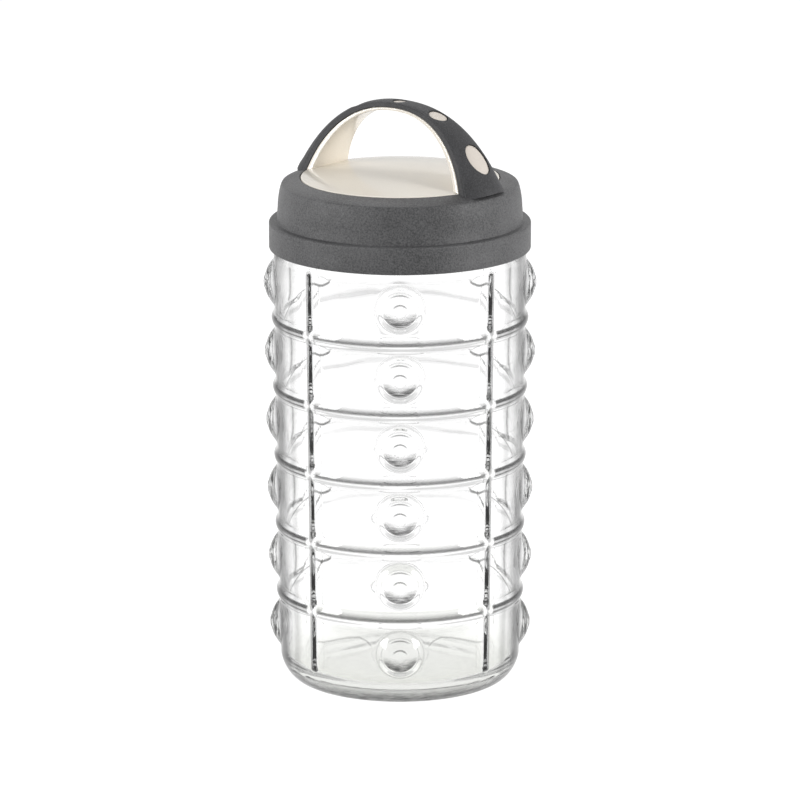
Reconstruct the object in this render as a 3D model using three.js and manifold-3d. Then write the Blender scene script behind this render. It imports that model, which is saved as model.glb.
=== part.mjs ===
import * as THREE from 'three';
import { mergeVertices } from 'three/addons/utils/BufferGeometryUtils.js';
import Module from 'manifold-3d';

const wasm = await Module();
wasm.setup();

// Storage jar with a two-colour lid. Millimetres, +Z up, the jar's foot on z = 0.
// The first column of bumps faces -Y.

// Jar: heights, each from the one below it.
const HEEL_HEIGHT = 10.8;
const FIRST_BUMP_RISE = 12.8;
const ROW_PITCH = 30.8;
const SHOULDER_RISE = 12.2;
const SHOULDER_HEIGHT = 7.8;
const NECK_HEIGHT = 19.9;
const FLOOR_THICKNESS = 6.4;

// Jar: how far each radius steps in or out from its neighbour.
const SHOULDER_STEP = 7.95;
const WALL_TAPER = 2.4;
const HEEL_DEPTH = 7.5;
const HEEL_POWER = 1.65;
const FOOT_WIDTH = 4.25;
const PUNT_DEPTH = 2.2;
const JAR_WALL = 3.4;
const FLOOR_CORNER = 7;
const LIP_ROUND = 0.9;
const SHOULDER_SHARES = [[0.12, 0.34], [0.42, 0.64], [0.78, 0.84]];

// Raised lines and bumps on the glass.
const BUMP_ROWS = 6;
const BUMP_COLUMNS = 4;
const BUMP_WIDTH = 20;
const BUMP_PROUD = 4.3;
const BUMP_ROOT = 1.9;
const NIPPLE_RADIUS = 2.6;
const NIPPLE_PROUD = 0.4;
const DIMPLE_WIDTH = 15;
const DIMPLE_DEPTH = 2.3;
const DIMPLE_REACH = 1.6;
const RIB_WIDTH = 4.8;
const RIB_CREST = 1.4;
const RIB_PROUD = 1.7;
const RIB_ROOT = 1.2;
const RIB_END = 2.4;
const RIB_BOTTOM_RISE = 0.2;
const RIB_TOP_RISE = 1.4;

// Twist finish: short beads on the glass, matching lugs inside the lid.
const LUG_COUNT = 6;
const BEAD_RISE = 10;
const BEAD_HEIGHT = 2.4;
const BEAD_PROUD = 1.2;
const BEAD_PLAY = 0.2;
const BEAD_SWEEP = THREE.MathUtils.degToRad(24);
const LUG_HEIGHT = 2.2;
const LUG_SWEEP = THREE.MathUtils.degToRad(12);
const BEVEL = 0.6;

// Clearances between separate pieces.
const SEAT_GAP = 0.3;
const RUN_GAP = 0.3;

// Lid shell: the outer grey moulding. Its band is the widest round of the whole jar.
const BAND_DIAMETER = 114;
const BAND_FOOT_RISE = 3.5;
const BAND_TOP_THICKNESS = 1.5;
const BAND_WALL = 2;
const BAND_EDGE = 1;
const BAND_STEP = 3.4;
const CROWN_DRAFT = 0.45;
const CROWN_EDGE = 2;
const CROWN_FALL = 9.8;
const RING_FALL = 2.4;
const SHELL_WALL = 2.85;
const SHELL_SLOPE = 3.4;
const SHELL_TOP_THICKNESS = 2.3;
const SNAP_REACH = 0.6;
const SNAP_HEIGHT = 1;
const CROWN_EDGE_SHARES = [[0.17, 0.4], [0.44, 0.7], [0.76, 0.92]];

// Lid insert: the ivory disc with its skirt, plug and inner arch.
const TOP_RING_WIDTH = 9.25;
const DISC_LIFT = 0.3;
const DISC_RISE = 3;
const DISC_THICKNESS = 2.2;
const DISC_ROUND = 0.8;
const FLANGE_THICKNESS = 2;
const SKIRT_WALL = 1.4;
const PLUG_WALL = 1.8;
const PLUG_HEIGHT = 6;
const INSERT_CHAMFER = 1.7;
const PLUG_PLAY = 0.5;
const DISC_RINGS = 4;

// Seal ring.
const SEAL_THICKNESS = 1.5;
const SEAL_PLAY = 1.9;

// Handle: the arch's plane is turned about Z; the foot on +X comes towards -Y.
const HANDLE_YAW = THREE.MathUtils.degToRad(-38);
const ARCH_SINK = 25.7;
const ARCH_INSET = 3.85;
const ARCH_RISE = 59.3;
const ARCH_POWER = 2.23;
const STRAP_TOP_WIDTH = 9.5;
const STRAP_FOOT_WIDTH = 26;
const STRAP_FOOT_SINK = 2.2;
const STRAP_POWER = 0.88;
const STRAP_CROWN_RADIUS = 27;
const STRAP_EDGE = 0.7;
const STRAP_SIDE_THICKNESS = 4.1;
const STRAP_TOP_THICKNESS = 2.1;
const LINER_SIDE_THICKNESS = 2.7;
const LINER_TOP_THICKNESS = 1.5;
const FOOT_FLARE = 0.5;
const FOOT_FLARE_RISE = 6;
const NOTCH_REACH = 6;
const STRAP_STEPS = 22;
const STRAP_CROWD_SHARE = 0.09;

// Dots on the handle: angle along the arch, diameter.
const DOTS = [
  [THREE.MathUtils.degToRad(90), 6],
  [THREE.MathUtils.degToRad(67.5), 8.8],
  [THREE.MathUtils.degToRad(112.5), 8.8],
  [THREE.MathUtils.degToRad(37.2), 13],
  [THREE.MathUtils.degToRad(142.8), 13],
];
const DOT_RECESS = 0.3;
const DOT_GAP = 0.25;

const ROUND_SEGMENTS = 40;
const BUMP_SEGMENTS = 10;
const DIMPLE_SEGMENTS = 6;
const DOT_SEGMENTS = 14;

// Radii, from the band inwards through the lid's walls to the neck, and from there to the foot.
const BAND_RADIUS = BAND_DIAMETER / 2;
const CROWN_BASE_RADIUS = BAND_RADIUS - BAND_STEP;
const CROWN_TOP_RADIUS = CROWN_BASE_RADIUS - CROWN_DRAFT;
const CROWN_INNER_RADIUS = CROWN_TOP_RADIUS - SHELL_WALL;
const SKIRT_RADIUS = CROWN_INNER_RADIUS - SEAT_GAP;
const SKIRT_INNER_RADIUS = SKIRT_RADIUS - SKIRT_WALL;
const NECK_RADIUS = SKIRT_INNER_RADIUS - BEAD_PLAY - BEAD_PROUD;
const MOUTH_RADIUS = NECK_RADIUS - JAR_WALL;
const PLUG_RADIUS = MOUTH_RADIUS - PLUG_PLAY;
const DISC_RADIUS = CROWN_TOP_RADIUS - TOP_RING_WIDTH;
const ARCH_HALF_SPAN = CROWN_TOP_RADIUS - ARCH_INSET;
const SHOULDER_RADIUS = NECK_RADIUS + SHOULDER_STEP;
const HEEL_TOP_RADIUS = SHOULDER_RADIUS - WALL_TAPER;
const PUNT_RADIUS = HEEL_TOP_RADIUS - HEEL_DEPTH - FOOT_WIDTH;

// Heights, from the table upwards.
const FIRST_BUMP_Z = HEEL_HEIGHT + FIRST_BUMP_RISE;
const SHOULDER_Z = FIRST_BUMP_Z + ROW_PITCH * (BUMP_ROWS - 1) + SHOULDER_RISE;
const NECK_FOOT_Z = SHOULDER_Z + SHOULDER_HEIGHT;
const LIP_Z = NECK_FOOT_Z + NECK_HEIGHT;
const RIB_BOTTOM_Z = HEEL_HEIGHT + RIB_BOTTOM_RISE;
const RIB_TOP_Z = SHOULDER_Z + RIB_TOP_RISE;
const BEAD_UNDER_Z = NECK_FOOT_Z + BEAD_RISE;
const LUG_TOP_Z = BEAD_UNDER_Z - RUN_GAP;
const SKIRT_FOOT_Z = LUG_TOP_Z - LUG_HEIGHT;
const SNAP_TOP_Z = SKIRT_FOOT_Z - SEAT_GAP;
const BAND_BOTTOM_Z = SHOULDER_Z + BAND_FOOT_RISE;
const BAND_UNDER_Z = SNAP_TOP_Z - SNAP_HEIGHT;
const BAND_TOP_Z = BAND_UNDER_Z + BAND_TOP_THICKNESS;
const SEAL_FOOT_Z = LIP_Z + SEAT_GAP;
const FLANGE_UNDER_Z = SEAL_FOOT_Z + SEAL_THICKNESS + SEAT_GAP;
const FLANGE_TOP_Z = FLANGE_UNDER_Z + FLANGE_THICKNESS;
const SHELL_UNDER_Z = FLANGE_TOP_Z + SEAT_GAP;
const CROWN_TOP_Z = SHELL_UNDER_Z + SHELL_TOP_THICKNESS;
const DISC_EDGE_Z = CROWN_TOP_Z + DISC_LIFT;
const RING_EDGE_Z = CROWN_TOP_Z - RING_FALL;
const STRAP_FOOT_Z = CROWN_TOP_Z - STRAP_FOOT_SINK;
const ARCH_BASE_Z = CROWN_TOP_Z - ARCH_SINK;

// Radius of the jar's plain wall at height z.
function wallRadius(z) {
  const share = (z - HEEL_HEIGHT) / (SHOULDER_Z - HEEL_HEIGHT);
  return HEEL_TOP_RADIUS + (SHOULDER_RADIUS - HEEL_TOP_RADIUS) * share;
}

// Turns a closed surface into a solid, outward facing.
function solidOf(geometry) {
  const bare = geometry.clone();
  bare.deleteAttribute('uv');
  bare.deleteAttribute('normal');
  const merged = mergeVertices(bare, 1e-4);
  const position = merged.attributes.position;
  const triangles = [];
  const corner = [new THREE.Vector3(), new THREE.Vector3(), new THREE.Vector3()];
  let volume = 0;
  for (let i = 0; i < merged.index.count; i += 3) {
    const ids = [0, 1, 2].map((k) => merged.index.getX(i + k));
    if (ids[0] === ids[1] || ids[1] === ids[2] || ids[2] === ids[0]) continue;
    ids.forEach((id, k) => corner[k].fromBufferAttribute(position, id));
    volume += corner[0].dot(corner[1].clone().cross(corner[2]));
    triangles.push(ids);
  }
  const order = volume < 0 ? [0, 2, 1] : [0, 1, 2];
  const mesh = new wasm.Mesh({
    numProp: 3,
    vertProperties: new Float32Array(position.array),
    triVerts: new Uint32Array(triangles.flatMap((ids) => order.map((k) => ids[k]))),
  });
  return new wasm.Manifold(mesh);
}

// Turns a solid back into a drawable surface.
function surfaceOf(solid) {
  const mesh = solid.getMesh();
  const geometry = new THREE.BufferGeometry();
  geometry.setAttribute('position', new THREE.BufferAttribute(new Float32Array(mesh.vertProperties), 3));
  geometry.setIndex(new THREE.BufferAttribute(new Uint32Array(mesh.triVerts), 1));
  geometry.computeVertexNormals();
  return geometry;
}

// Solid of revolution about Z from [radius, z] pairs.
function turned(profile, segments = ROUND_SEGMENTS) {
  const points = profile.map(([r, z]) => new THREE.Vector2(r, z));
  const geometry = new THREE.LatheGeometry(points, segments);
  geometry.rotateX(Math.PI / 2);
  return geometry;
}

// Closed solid through a row of equal rings of points, flat at both ends.
function lofted(rings) {
  const count = rings[0].length;
  const geometry = new THREE.BufferGeometry();
  const index = [];
  for (let i = 0; i + 1 < rings.length; i += 1) {
    for (let j = 0; j < count; j += 1) {
      const a = i * count + j;
      const b = i * count + ((j + 1) % count);
      index.push(a, b, a + count, b, b + count, a + count);
    }
  }
  const last = (rings.length - 1) * count;
  for (let j = 1; j + 1 < count; j += 1) {
    index.push(0, j + 1, j);
    index.push(last, last + j, last + j + 1);
  }
  geometry.setFromPoints(rings.flat());
  geometry.setIndex(index);
  return geometry;
}

// Point on a circle about Z.
function polar(radius, angle, z) {
  return new THREE.Vector3(radius * Math.cos(angle), radius * Math.sin(angle), z);
}

// Jar, outside: foot with its push-up, rounded heel, wall with the level lines, shoulder, neck.
function jarOutline() {
  const outline = [[0, PUNT_DEPTH], [PUNT_RADIUS / 2, PUNT_DEPTH], [PUNT_RADIUS, 0]];
  const heelSteps = 5;
  for (let i = 0; i <= heelSteps; i += 1) {
    const turn = (Math.PI / 2) * (1 - i / heelSteps);
    const inset = HEEL_DEPTH * (1 - Math.cos(turn) ** (2 / HEEL_POWER));
    const drop = HEEL_HEIGHT * Math.sin(turn) ** (2 / HEEL_POWER);
    outline.push([HEEL_TOP_RADIUS - inset, HEEL_HEIGHT - drop]);
  }
  for (let row = 0; row + 1 < BUMP_ROWS; row += 1) {
    const z = FIRST_BUMP_Z + ROW_PITCH * (row + 0.5);
    outline.push([wallRadius(z - RIB_WIDTH / 2), z - RIB_WIDTH / 2]);
    outline.push([wallRadius(z) + RIB_PROUD, z - RIB_CREST / 2]);
    outline.push([wallRadius(z) + RIB_PROUD, z + RIB_CREST / 2]);
    outline.push([wallRadius(z + RIB_WIDTH / 2), z + RIB_WIDTH / 2]);
  }
  outline.push([SHOULDER_RADIUS, SHOULDER_Z]);
  for (const [inShare, upShare] of SHOULDER_SHARES) {
    const radius = SHOULDER_RADIUS - (SHOULDER_RADIUS - NECK_RADIUS) * inShare;
    outline.push([radius, SHOULDER_Z + (NECK_FOOT_Z - SHOULDER_Z) * upShare]);
  }
  outline.push([NECK_RADIUS, NECK_FOOT_Z], [NECK_RADIUS, LIP_Z - LIP_ROUND]);
  outline.push([NECK_RADIUS - LIP_ROUND, LIP_Z], [0, LIP_Z]);
  return outline;
}

// Jar, inside: thick floor, rounded corner, wall, shoulder, mouth.
function jarInside() {
  const cornerSteps = 3;
  const wallFoot = wallRadius(FLOOR_THICKNESS + FLOOR_CORNER) - JAR_WALL;
  const inside = [[0, FLOOR_THICKNESS]];
  for (let i = 0; i <= cornerSteps; i += 1) {
    const turn = (Math.PI / 2) * (i / cornerSteps);
    const radius = wallFoot - FLOOR_CORNER * (1 - Math.sin(turn));
    inside.push([radius, FLOOR_THICKNESS + FLOOR_CORNER * (1 - Math.cos(turn))]);
  }
  inside.push([SHOULDER_RADIUS - JAR_WALL, SHOULDER_Z - LIP_ROUND]);
  for (const [inShare, upShare] of SHOULDER_SHARES) {
    const radius = SHOULDER_RADIUS - JAR_WALL - (SHOULDER_RADIUS - NECK_RADIUS) * inShare;
    inside.push([radius, SHOULDER_Z - LIP_ROUND + (NECK_FOOT_Z - SHOULDER_Z) * upShare]);
  }
  inside.push([MOUTH_RADIUS, NECK_FOOT_Z], [MOUTH_RADIUS, LIP_Z - LIP_ROUND]);
  inside.push([MOUTH_RADIUS + LIP_ROUND, LIP_Z], [MOUTH_RADIUS + LIP_ROUND, LIP_Z + LIP_ROUND]);
  inside.push([0, LIP_Z + LIP_ROUND]);
  return inside;
}

// One upright raised line: a bevelled bar that follows the wall and dies away at both ends.
function uprightRib(angle) {
  const ends = RIB_TOP_Z - RIB_BOTTOM_Z;
  const endShare = RIB_END / ends;
  const shares = [[0, 0], [endShare, 1], [1 - endShare, 1], [1, 0]];
  const rings = shares.map(([share, size]) => {
    const z = RIB_BOTTOM_Z + ends * share;
    const wall = wallRadius(Math.min(z, SHOULDER_Z));
    const rise = RIB_PROUD * size;
    const half = (RIB_WIDTH / 2) * (0.5 + size / 2);
    const crest = (RIB_CREST / 2) * (0.5 + size / 2);
    const section = [[-half, -RIB_ROOT], [-half, 0], [-crest, rise], [crest, rise], [half, 0], [half, -RIB_ROOT]];
    return section.map(([across, out]) => polar(wall + out, angle + across / wall, z));
  });
  return lofted(rings);
}

// A round cap standing out of the wall, with a nipple on top; its axis runs outwards from Z.
function bump(angle, z) {
  const sphere = ((BUMP_WIDTH / 2) ** 2 + BUMP_PROUD ** 2) / (2 * BUMP_PROUD);
  const centre = wallRadius(z) + BUMP_PROUD - sphere;
  const rootAngle = Math.acos((wallRadius(z) - BUMP_ROOT - centre) / sphere);
  const nippleAngle = Math.asin(NIPPLE_RADIUS / sphere);
  const top = centre + sphere + NIPPLE_PROUD;
  const profile = [[0, top], [NIPPLE_RADIUS - NIPPLE_PROUD, top]];
  const steps = 3;
  for (let i = 0; i <= steps; i += 1) {
    const turn = nippleAngle + (rootAngle - nippleAngle) * (i / steps);
    profile.push([sphere * Math.sin(turn), centre + sphere * Math.cos(turn)]);
  }
  profile.push([0, wallRadius(z) - BUMP_ROOT]);
  return aimedOut(turned(profile, BUMP_SEGMENTS), angle, z);
}

// The shallow hollow that the blown wall has behind each bump.
function dimple(angle, z) {
  const inner = wallRadius(z) - JAR_WALL;
  const sphere = ((DIMPLE_WIDTH / 2) ** 2 + DIMPLE_DEPTH ** 2) / (2 * DIMPLE_DEPTH);
  const centre = inner + DIMPLE_DEPTH - sphere;
  const edgeAngle = Math.acos((inner - DIMPLE_REACH - centre) / sphere);
  const profile = [[0, centre + sphere]];
  const steps = 2;
  for (let i = 1; i <= steps; i += 1) {
    const turn = edgeAngle * (i / steps);
    profile.push([sphere * Math.sin(turn), centre + sphere * Math.cos(turn)]);
  }
  profile.push([0, inner - DIMPLE_REACH]);
  return aimedOut(turned(profile, DIMPLE_SEGMENTS), angle, z);
}

// Lays a shape built along Z so that it points outwards at an angle about Z.
function aimedOut(geometry, angle, z) {
  geometry.rotateY(Math.PI / 2);
  geometry.rotateZ(angle);
  geometry.translate(0, 0, z);
  return geometry;
}

// A short block on a round wall, bevelled on its free edges and both ends.
function ringBlock(rootRadius, reach, zLow, height, angle, sweep) {
  const steps = 4;
  const sunk = rootRadius - Math.sign(reach) * BEVEL;
  const rings = [];
  for (let i = 0; i <= steps; i += 1) {
    const share = i / steps;
    const size = i === 0 || i === steps ? BEVEL / Math.abs(reach) : 1;
    const turn = angle + sweep * (share - 0.5);
    const tip = rootRadius + reach * size;
    const section = [[sunk, zLow], [tip, zLow], [tip, zLow + height - BEVEL], [sunk, zLow + height]];
    rings.push(section.map(([radius, z]) => polar(radius, turn, z)));
  }
  return lofted(rings);
}

// Glass jar: one moulding.
function glassJar() {
  let jar = solidOf(turned(jarOutline()));
  for (let column = 0; column < BUMP_COLUMNS; column += 1) {
    const angle = ((2 * Math.PI) / BUMP_COLUMNS) * column;
    jar = jar.add(solidOf(uprightRib(angle + Math.PI / BUMP_COLUMNS)));
    for (let row = 0; row < BUMP_ROWS; row += 1) {
      jar = jar.add(solidOf(bump(angle, FIRST_BUMP_Z + ROW_PITCH * row)));
    }
  }
  jar = jar.subtract(solidOf(turned(jarInside())));
  for (let column = 0; column < BUMP_COLUMNS; column += 1) {
    const angle = ((2 * Math.PI) / BUMP_COLUMNS) * column;
    for (let row = 0; row < BUMP_ROWS; row += 1) {
      jar = jar.subtract(solidOf(dimple(angle, FIRST_BUMP_Z + ROW_PITCH * row)));
    }
  }
  for (let i = 0; i < LUG_COUNT; i += 1) {
    const angle = ((2 * Math.PI) / LUG_COUNT) * i;
    const bead = ringBlock(NECK_RADIUS, BEAD_PROUD, BEAD_UNDER_Z, BEAD_HEIGHT, angle, BEAD_SWEEP);
    jar = jar.add(solidOf(bead));
  }
  return jar;
}

// A power that keeps the sign of its base.
function signedPower(value, power) {
  return Math.sign(value) * Math.abs(value) ** power;
}

// Distance from Z and height of a point on one of the arch's three nested curves.
function archPoint(turn, sideInset, topInset) {
  const across = signedPower(Math.cos(turn), 2 / ARCH_POWER);
  const up = signedPower(Math.sin(turn), 2 / ARCH_POWER);
  return [(ARCH_HALF_SPAN - sideInset) * across, ARCH_BASE_Z + (ARCH_RISE - topInset) * up];
}

// Width of both straps at height z: widest at the feet.
function strapWidth(z) {
  const topZ = ARCH_BASE_Z + ARCH_RISE;
  const share = Math.min(Math.max((topZ - z) / (topZ - STRAP_FOOT_Z), 0), 1);
  return STRAP_TOP_WIDTH + (STRAP_FOOT_WIDTH - STRAP_TOP_WIDTH) * share ** STRAP_POWER;
}

// Outward direction of the outer curve, in the arch's plane.
function archNormal(turn) {
  const step = 0.002;
  const [s0, z0] = archPoint(turn - step, 0, 0);
  const [s1, z1] = archPoint(turn + step, 0, 0);
  const size = Math.hypot(s1 - s0, z1 - z0);
  return [(z1 - z0) / size, -(s1 - s0) / size];
}

// How far the shell's feet spread where they run out onto the top ring.
function footFlare(z) {
  const share = Math.min(Math.max(1 - (z - CROWN_TOP_Z) / FOOT_FLARE_RISE, 0), 1);
  return FOOT_FLARE * share ** 2;
}

// Strap between two nested curves. Both insets are [side, top]; the outer face is crowned by
// crown (0 = flat), moved by grow, and the strap is widen broader than its drawn width.
// The steps crowd together towards the feet, where the shape changes fastest.
function strap(outerInset, innerInset, crown, grow, widen) {
  const acrossShares = crown > 0 ? [-1, -0.86, -0.45, 0, 0.45, 0.86, 1] : [-1, 1];
  const lowShare = (SHELL_UNDER_Z - SHELL_TOP_THICKNESS - ARCH_BASE_Z) / ARCH_RISE;
  const start = Math.asin(lowShare ** (ARCH_POWER / 2));
  const rings = [];
  for (let i = 0; i <= STRAP_STEPS; i += 1) {
    const even = i / STRAP_STEPS;
    const share = even - STRAP_CROWD_SHARE * Math.sin(2 * Math.PI * even);
    const turn = start + (Math.PI - 2 * start) * share;
    const outer = archPoint(turn, ...outerInset);
    const inner = archPoint(turn, ...innerInset);
    const [ns, nz] = archNormal(turn);
    const half = (strapWidth(archPoint(turn, 0, 0)[1]) + widen) / 2;
    const bulge = crown * half ** 2 / (2 * STRAP_CROWN_RADIUS);
    const flare = crown * footFlare(outer[1]);
    const ring = [[inner[0], half, inner[1]], [inner[0], -half, inner[1]]];
    for (const sideShare of acrossShares) {
      const edge = crown > 0 && Math.abs(sideShare) === 1 ? STRAP_EDGE : 0;
      const out = bulge * (1 - sideShare ** 2) + grow - edge + flare;
      ring.push([outer[0] + ns * out, sideShare * half, outer[1] + nz * out]);
    }
    rings.push(ring.map(([s, v, z]) => new THREE.Vector3(s, v, z)));
  }
  return lofted(rings);
}

// A rod along the arch's normal at one dot, reaching from inside the liner to past the strap.
function dotRod(turn, radius) {
  const reach = STRAP_SIDE_THICKNESS + LINER_SIDE_THICKNESS + STRAP_TOP_THICKNESS;
  const [ns, nz] = archNormal(turn);
  const [s, z] = archPoint(turn, 0, 0);
  const rod = new THREE.CylinderGeometry(radius, radius, reach, DOT_SEGMENTS);
  rod.applyQuaternion(new THREE.Quaternion().setFromUnitVectors(
    new THREE.Vector3(0, 1, 0), new THREE.Vector3(ns, 0, nz)));
  rod.translate(s, 0, z);
  return rod;
}

// Everything above a level, as a block to cut with.
function above(z) {
  const size = BAND_DIAMETER * 2;
  const block = new THREE.BoxGeometry(size, size, size);
  block.translate(0, 0, z + size / 2);
  return solidOf(block);
}

// Turns a handle piece from its own plane into place.
function yawed(geometry) {
  geometry.rotateZ(HANDLE_YAW);
  return geometry;
}

const STRAP_INSET = [STRAP_SIDE_THICKNESS, STRAP_TOP_THICKNESS];
const LINER_OUTER = STRAP_INSET.map((inset) => inset + SEAT_GAP);
const LINER_INNER = [
  STRAP_SIDE_THICKNESS + LINER_SIDE_THICKNESS,
  STRAP_TOP_THICKNESS + LINER_TOP_THICKNESS,
];

// Grey shell: two stepped bands, the top ring and the outer half of the handle.
function lidShell() {
  const outline = [
    [BAND_RADIUS, BAND_BOTTOM_Z],
    [BAND_RADIUS, BAND_TOP_Z - BAND_EDGE],
    [BAND_RADIUS - BAND_EDGE / 2, BAND_TOP_Z - BAND_EDGE / 5],
    [BAND_RADIUS - BAND_EDGE * 1.5, BAND_TOP_Z],
    [CROWN_BASE_RADIUS, BAND_TOP_Z],
    [CROWN_TOP_RADIUS, RING_EDGE_Z - CROWN_FALL],
  ];
  for (const [inShare, upShare] of CROWN_EDGE_SHARES) {
    outline.push([CROWN_TOP_RADIUS - CROWN_EDGE * inShare, RING_EDGE_Z - CROWN_FALL * (1 - upShare)]);
  }
  outline.push(
    [CROWN_TOP_RADIUS - CROWN_EDGE, RING_EDGE_Z],
    [DISC_RADIUS + SEAT_GAP, CROWN_TOP_Z],
    [DISC_RADIUS + SEAT_GAP, SHELL_UNDER_Z],
    [CROWN_INNER_RADIUS - SHELL_SLOPE, SHELL_UNDER_Z],
    [CROWN_INNER_RADIUS, SHELL_UNDER_Z - SHELL_SLOPE],
    [CROWN_BASE_RADIUS - SHELL_WALL, SNAP_TOP_Z],
    [SKIRT_RADIUS - SNAP_REACH, SNAP_TOP_Z],
    [SKIRT_RADIUS - SNAP_REACH, BAND_UNDER_Z],
    [BAND_RADIUS - BAND_WALL, BAND_UNDER_Z],
    [BAND_RADIUS - BAND_WALL, BAND_BOTTOM_Z],
    [BAND_RADIUS, BAND_BOTTOM_Z],
  );
  const shell = solidOf(turned(outline));
  let outerStrap = solidOf(yawed(strap([0, 0], STRAP_INSET, 1, 0, 0)));
  outerStrap = outerStrap.intersect(above(SHELL_UNDER_Z));
  for (const [turn, diameter] of DOTS) {
    outerStrap = outerStrap.subtract(solidOf(yawed(dotRod(turn, diameter / 2 + DOT_GAP))));
  }
  return shell.add(outerStrap);
}

// Ivory insert: domed disc, flange, lugged skirt, plug ring, handle liner with the dots.
function lidInsert() {
  const outline = [];
  for (let i = 0; i <= DISC_RINGS; i += 1) {
    const share = i / DISC_RINGS;
    const radius = (DISC_RADIUS - DISC_ROUND) * share;
    outline.push([radius, DISC_EDGE_Z + DISC_RISE * (1 - share ** 2)]);
  }
  outline.push(
    [DISC_RADIUS, DISC_EDGE_Z - DISC_ROUND],
    [DISC_RADIUS, FLANGE_TOP_Z],
    [CROWN_INNER_RADIUS - SHELL_SLOPE - SEAT_GAP, FLANGE_TOP_Z],
    [SKIRT_RADIUS, SHELL_UNDER_Z - SHELL_SLOPE - SEAT_GAP],
    [SKIRT_RADIUS, SKIRT_FOOT_Z],
    [SKIRT_INNER_RADIUS, SKIRT_FOOT_Z],
    [SKIRT_INNER_RADIUS, FLANGE_UNDER_Z - INSERT_CHAMFER],
    [SKIRT_INNER_RADIUS - INSERT_CHAMFER, FLANGE_UNDER_Z],
    [PLUG_RADIUS, FLANGE_UNDER_Z],
    [PLUG_RADIUS, FLANGE_UNDER_Z - PLUG_HEIGHT + BEVEL],
    [PLUG_RADIUS - BEVEL, FLANGE_UNDER_Z - PLUG_HEIGHT],
    [PLUG_RADIUS - PLUG_WALL, FLANGE_UNDER_Z - PLUG_HEIGHT],
  );
  for (let i = DISC_RINGS - 1; i >= 0; i -= 1) {
    const share = i / (DISC_RINGS - 1);
    const radius = (PLUG_RADIUS - PLUG_WALL) * share;
    outline.push([radius, DISC_EDGE_Z - DISC_THICKNESS + DISC_RISE * (1 - share ** 2)]);
  }
  let insert = solidOf(turned(outline));
  const notchOuter = [-NOTCH_REACH, -NOTCH_REACH];
  const notchInner = STRAP_INSET.map((inset) => inset + SEAT_GAP / 2);
  const notch = solidOf(yawed(strap(notchOuter, notchInner, 0, 0, 2 * SEAT_GAP)));
  insert = insert.subtract(notch.intersect(above(FLANGE_TOP_Z)));
  for (let i = 0; i < LUG_COUNT; i += 1) {
    const angle = ((2 * Math.PI) / LUG_COUNT) * (i + 0.5);
    const reach = NECK_RADIUS + RUN_GAP - SKIRT_INNER_RADIUS;
    const lug = ringBlock(SKIRT_INNER_RADIUS, reach, SKIRT_FOOT_Z, LUG_HEIGHT, angle, LUG_SWEEP);
    insert = insert.add(solidOf(lug));
  }
  let liner = solidOf(yawed(strap(LINER_OUTER, LINER_INNER, 0, 0, 0)));
  const crownSpace = solidOf(yawed(strap([0, 0], LINER_INNER, 1, -DOT_RECESS, 0)));
  for (const [turn, diameter] of DOTS) {
    liner = liner.add(solidOf(yawed(dotRod(turn, diameter / 2))).intersect(crownSpace));
  }
  return insert.add(liner.intersect(above(FLANGE_TOP_Z)));
}

// Soft ring that lies on the glass lip, between the plug ring and the skirt.
function sealRing() {
  const inner = PLUG_RADIUS + SEAT_GAP;
  const outer = SKIRT_INNER_RADIUS - SEAL_PLAY;
  const foot = SEAL_FOOT_Z;
  const top = SEAL_FOOT_Z + SEAL_THICKNESS;
  return solidOf(turned([[inner, foot], [outer, foot], [outer, top], [inner, top], [inner, foot]]));
}

const glass = new THREE.MeshStandardMaterial({
  color: 0xe8efec, roughness: 0.03, metalness: 0, transparent: true, opacity: 0.35, side: THREE.DoubleSide,
});
const grey = new THREE.MeshStandardMaterial({ color: 0x686868, roughness: 0.55, metalness: 0 });
const ivory = new THREE.MeshStandardMaterial({ color: 0xded6cc, roughness: 0.35, metalness: 0 });
const silicone = new THREE.MeshStandardMaterial({ color: 0xe4e4e0, roughness: 0.5, metalness: 0 });

const storageJar = new THREE.Group();
storageJar.name = 'storage_jar';
const pieces = [
  ['glass_jar', glassJar(), glass],
  ['seal_ring', sealRing(), silicone],
  ['lid_insert', lidInsert(), ivory],
  ['lid_shell', lidShell(), grey],
];
for (const [name, solid, material] of pieces) {
  const mesh = new THREE.Mesh(surfaceOf(solid), material);
  mesh.name = name;
  storageJar.add(mesh);
}

export default storageJar;
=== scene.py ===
import math

import bmesh
import bpy
import numpy as np
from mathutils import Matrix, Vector


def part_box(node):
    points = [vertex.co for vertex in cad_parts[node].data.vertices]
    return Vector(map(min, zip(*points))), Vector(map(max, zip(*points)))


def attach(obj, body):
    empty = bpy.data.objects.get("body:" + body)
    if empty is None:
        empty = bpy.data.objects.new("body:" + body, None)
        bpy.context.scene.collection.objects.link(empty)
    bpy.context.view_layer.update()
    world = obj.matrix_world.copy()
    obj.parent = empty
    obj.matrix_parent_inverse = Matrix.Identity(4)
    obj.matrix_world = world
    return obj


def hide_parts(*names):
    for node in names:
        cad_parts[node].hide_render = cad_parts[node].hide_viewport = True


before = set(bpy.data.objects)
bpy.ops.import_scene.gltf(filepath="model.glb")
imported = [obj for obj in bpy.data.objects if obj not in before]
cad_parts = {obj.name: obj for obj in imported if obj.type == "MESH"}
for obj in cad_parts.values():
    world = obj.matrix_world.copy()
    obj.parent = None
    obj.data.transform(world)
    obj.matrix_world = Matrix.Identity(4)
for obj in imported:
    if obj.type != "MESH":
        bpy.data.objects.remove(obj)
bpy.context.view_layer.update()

# Viewpoint of the photograph: a long lens square on to the first column of bumps, a little
# above the lid. Its place was found by fitting the jar's ellipses, ribs and bumps.
MM = 0.001
PICTURE_PIXELS = 800
FOCAL_PIXELS = 5704.6
SENSOR_MM = 36
CAMERA_PLACE = Vector((0, -2422.96, 740.06)) * MM
CAMERA_AIM = Vector((0, 0, 124.21)) * MM


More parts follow.
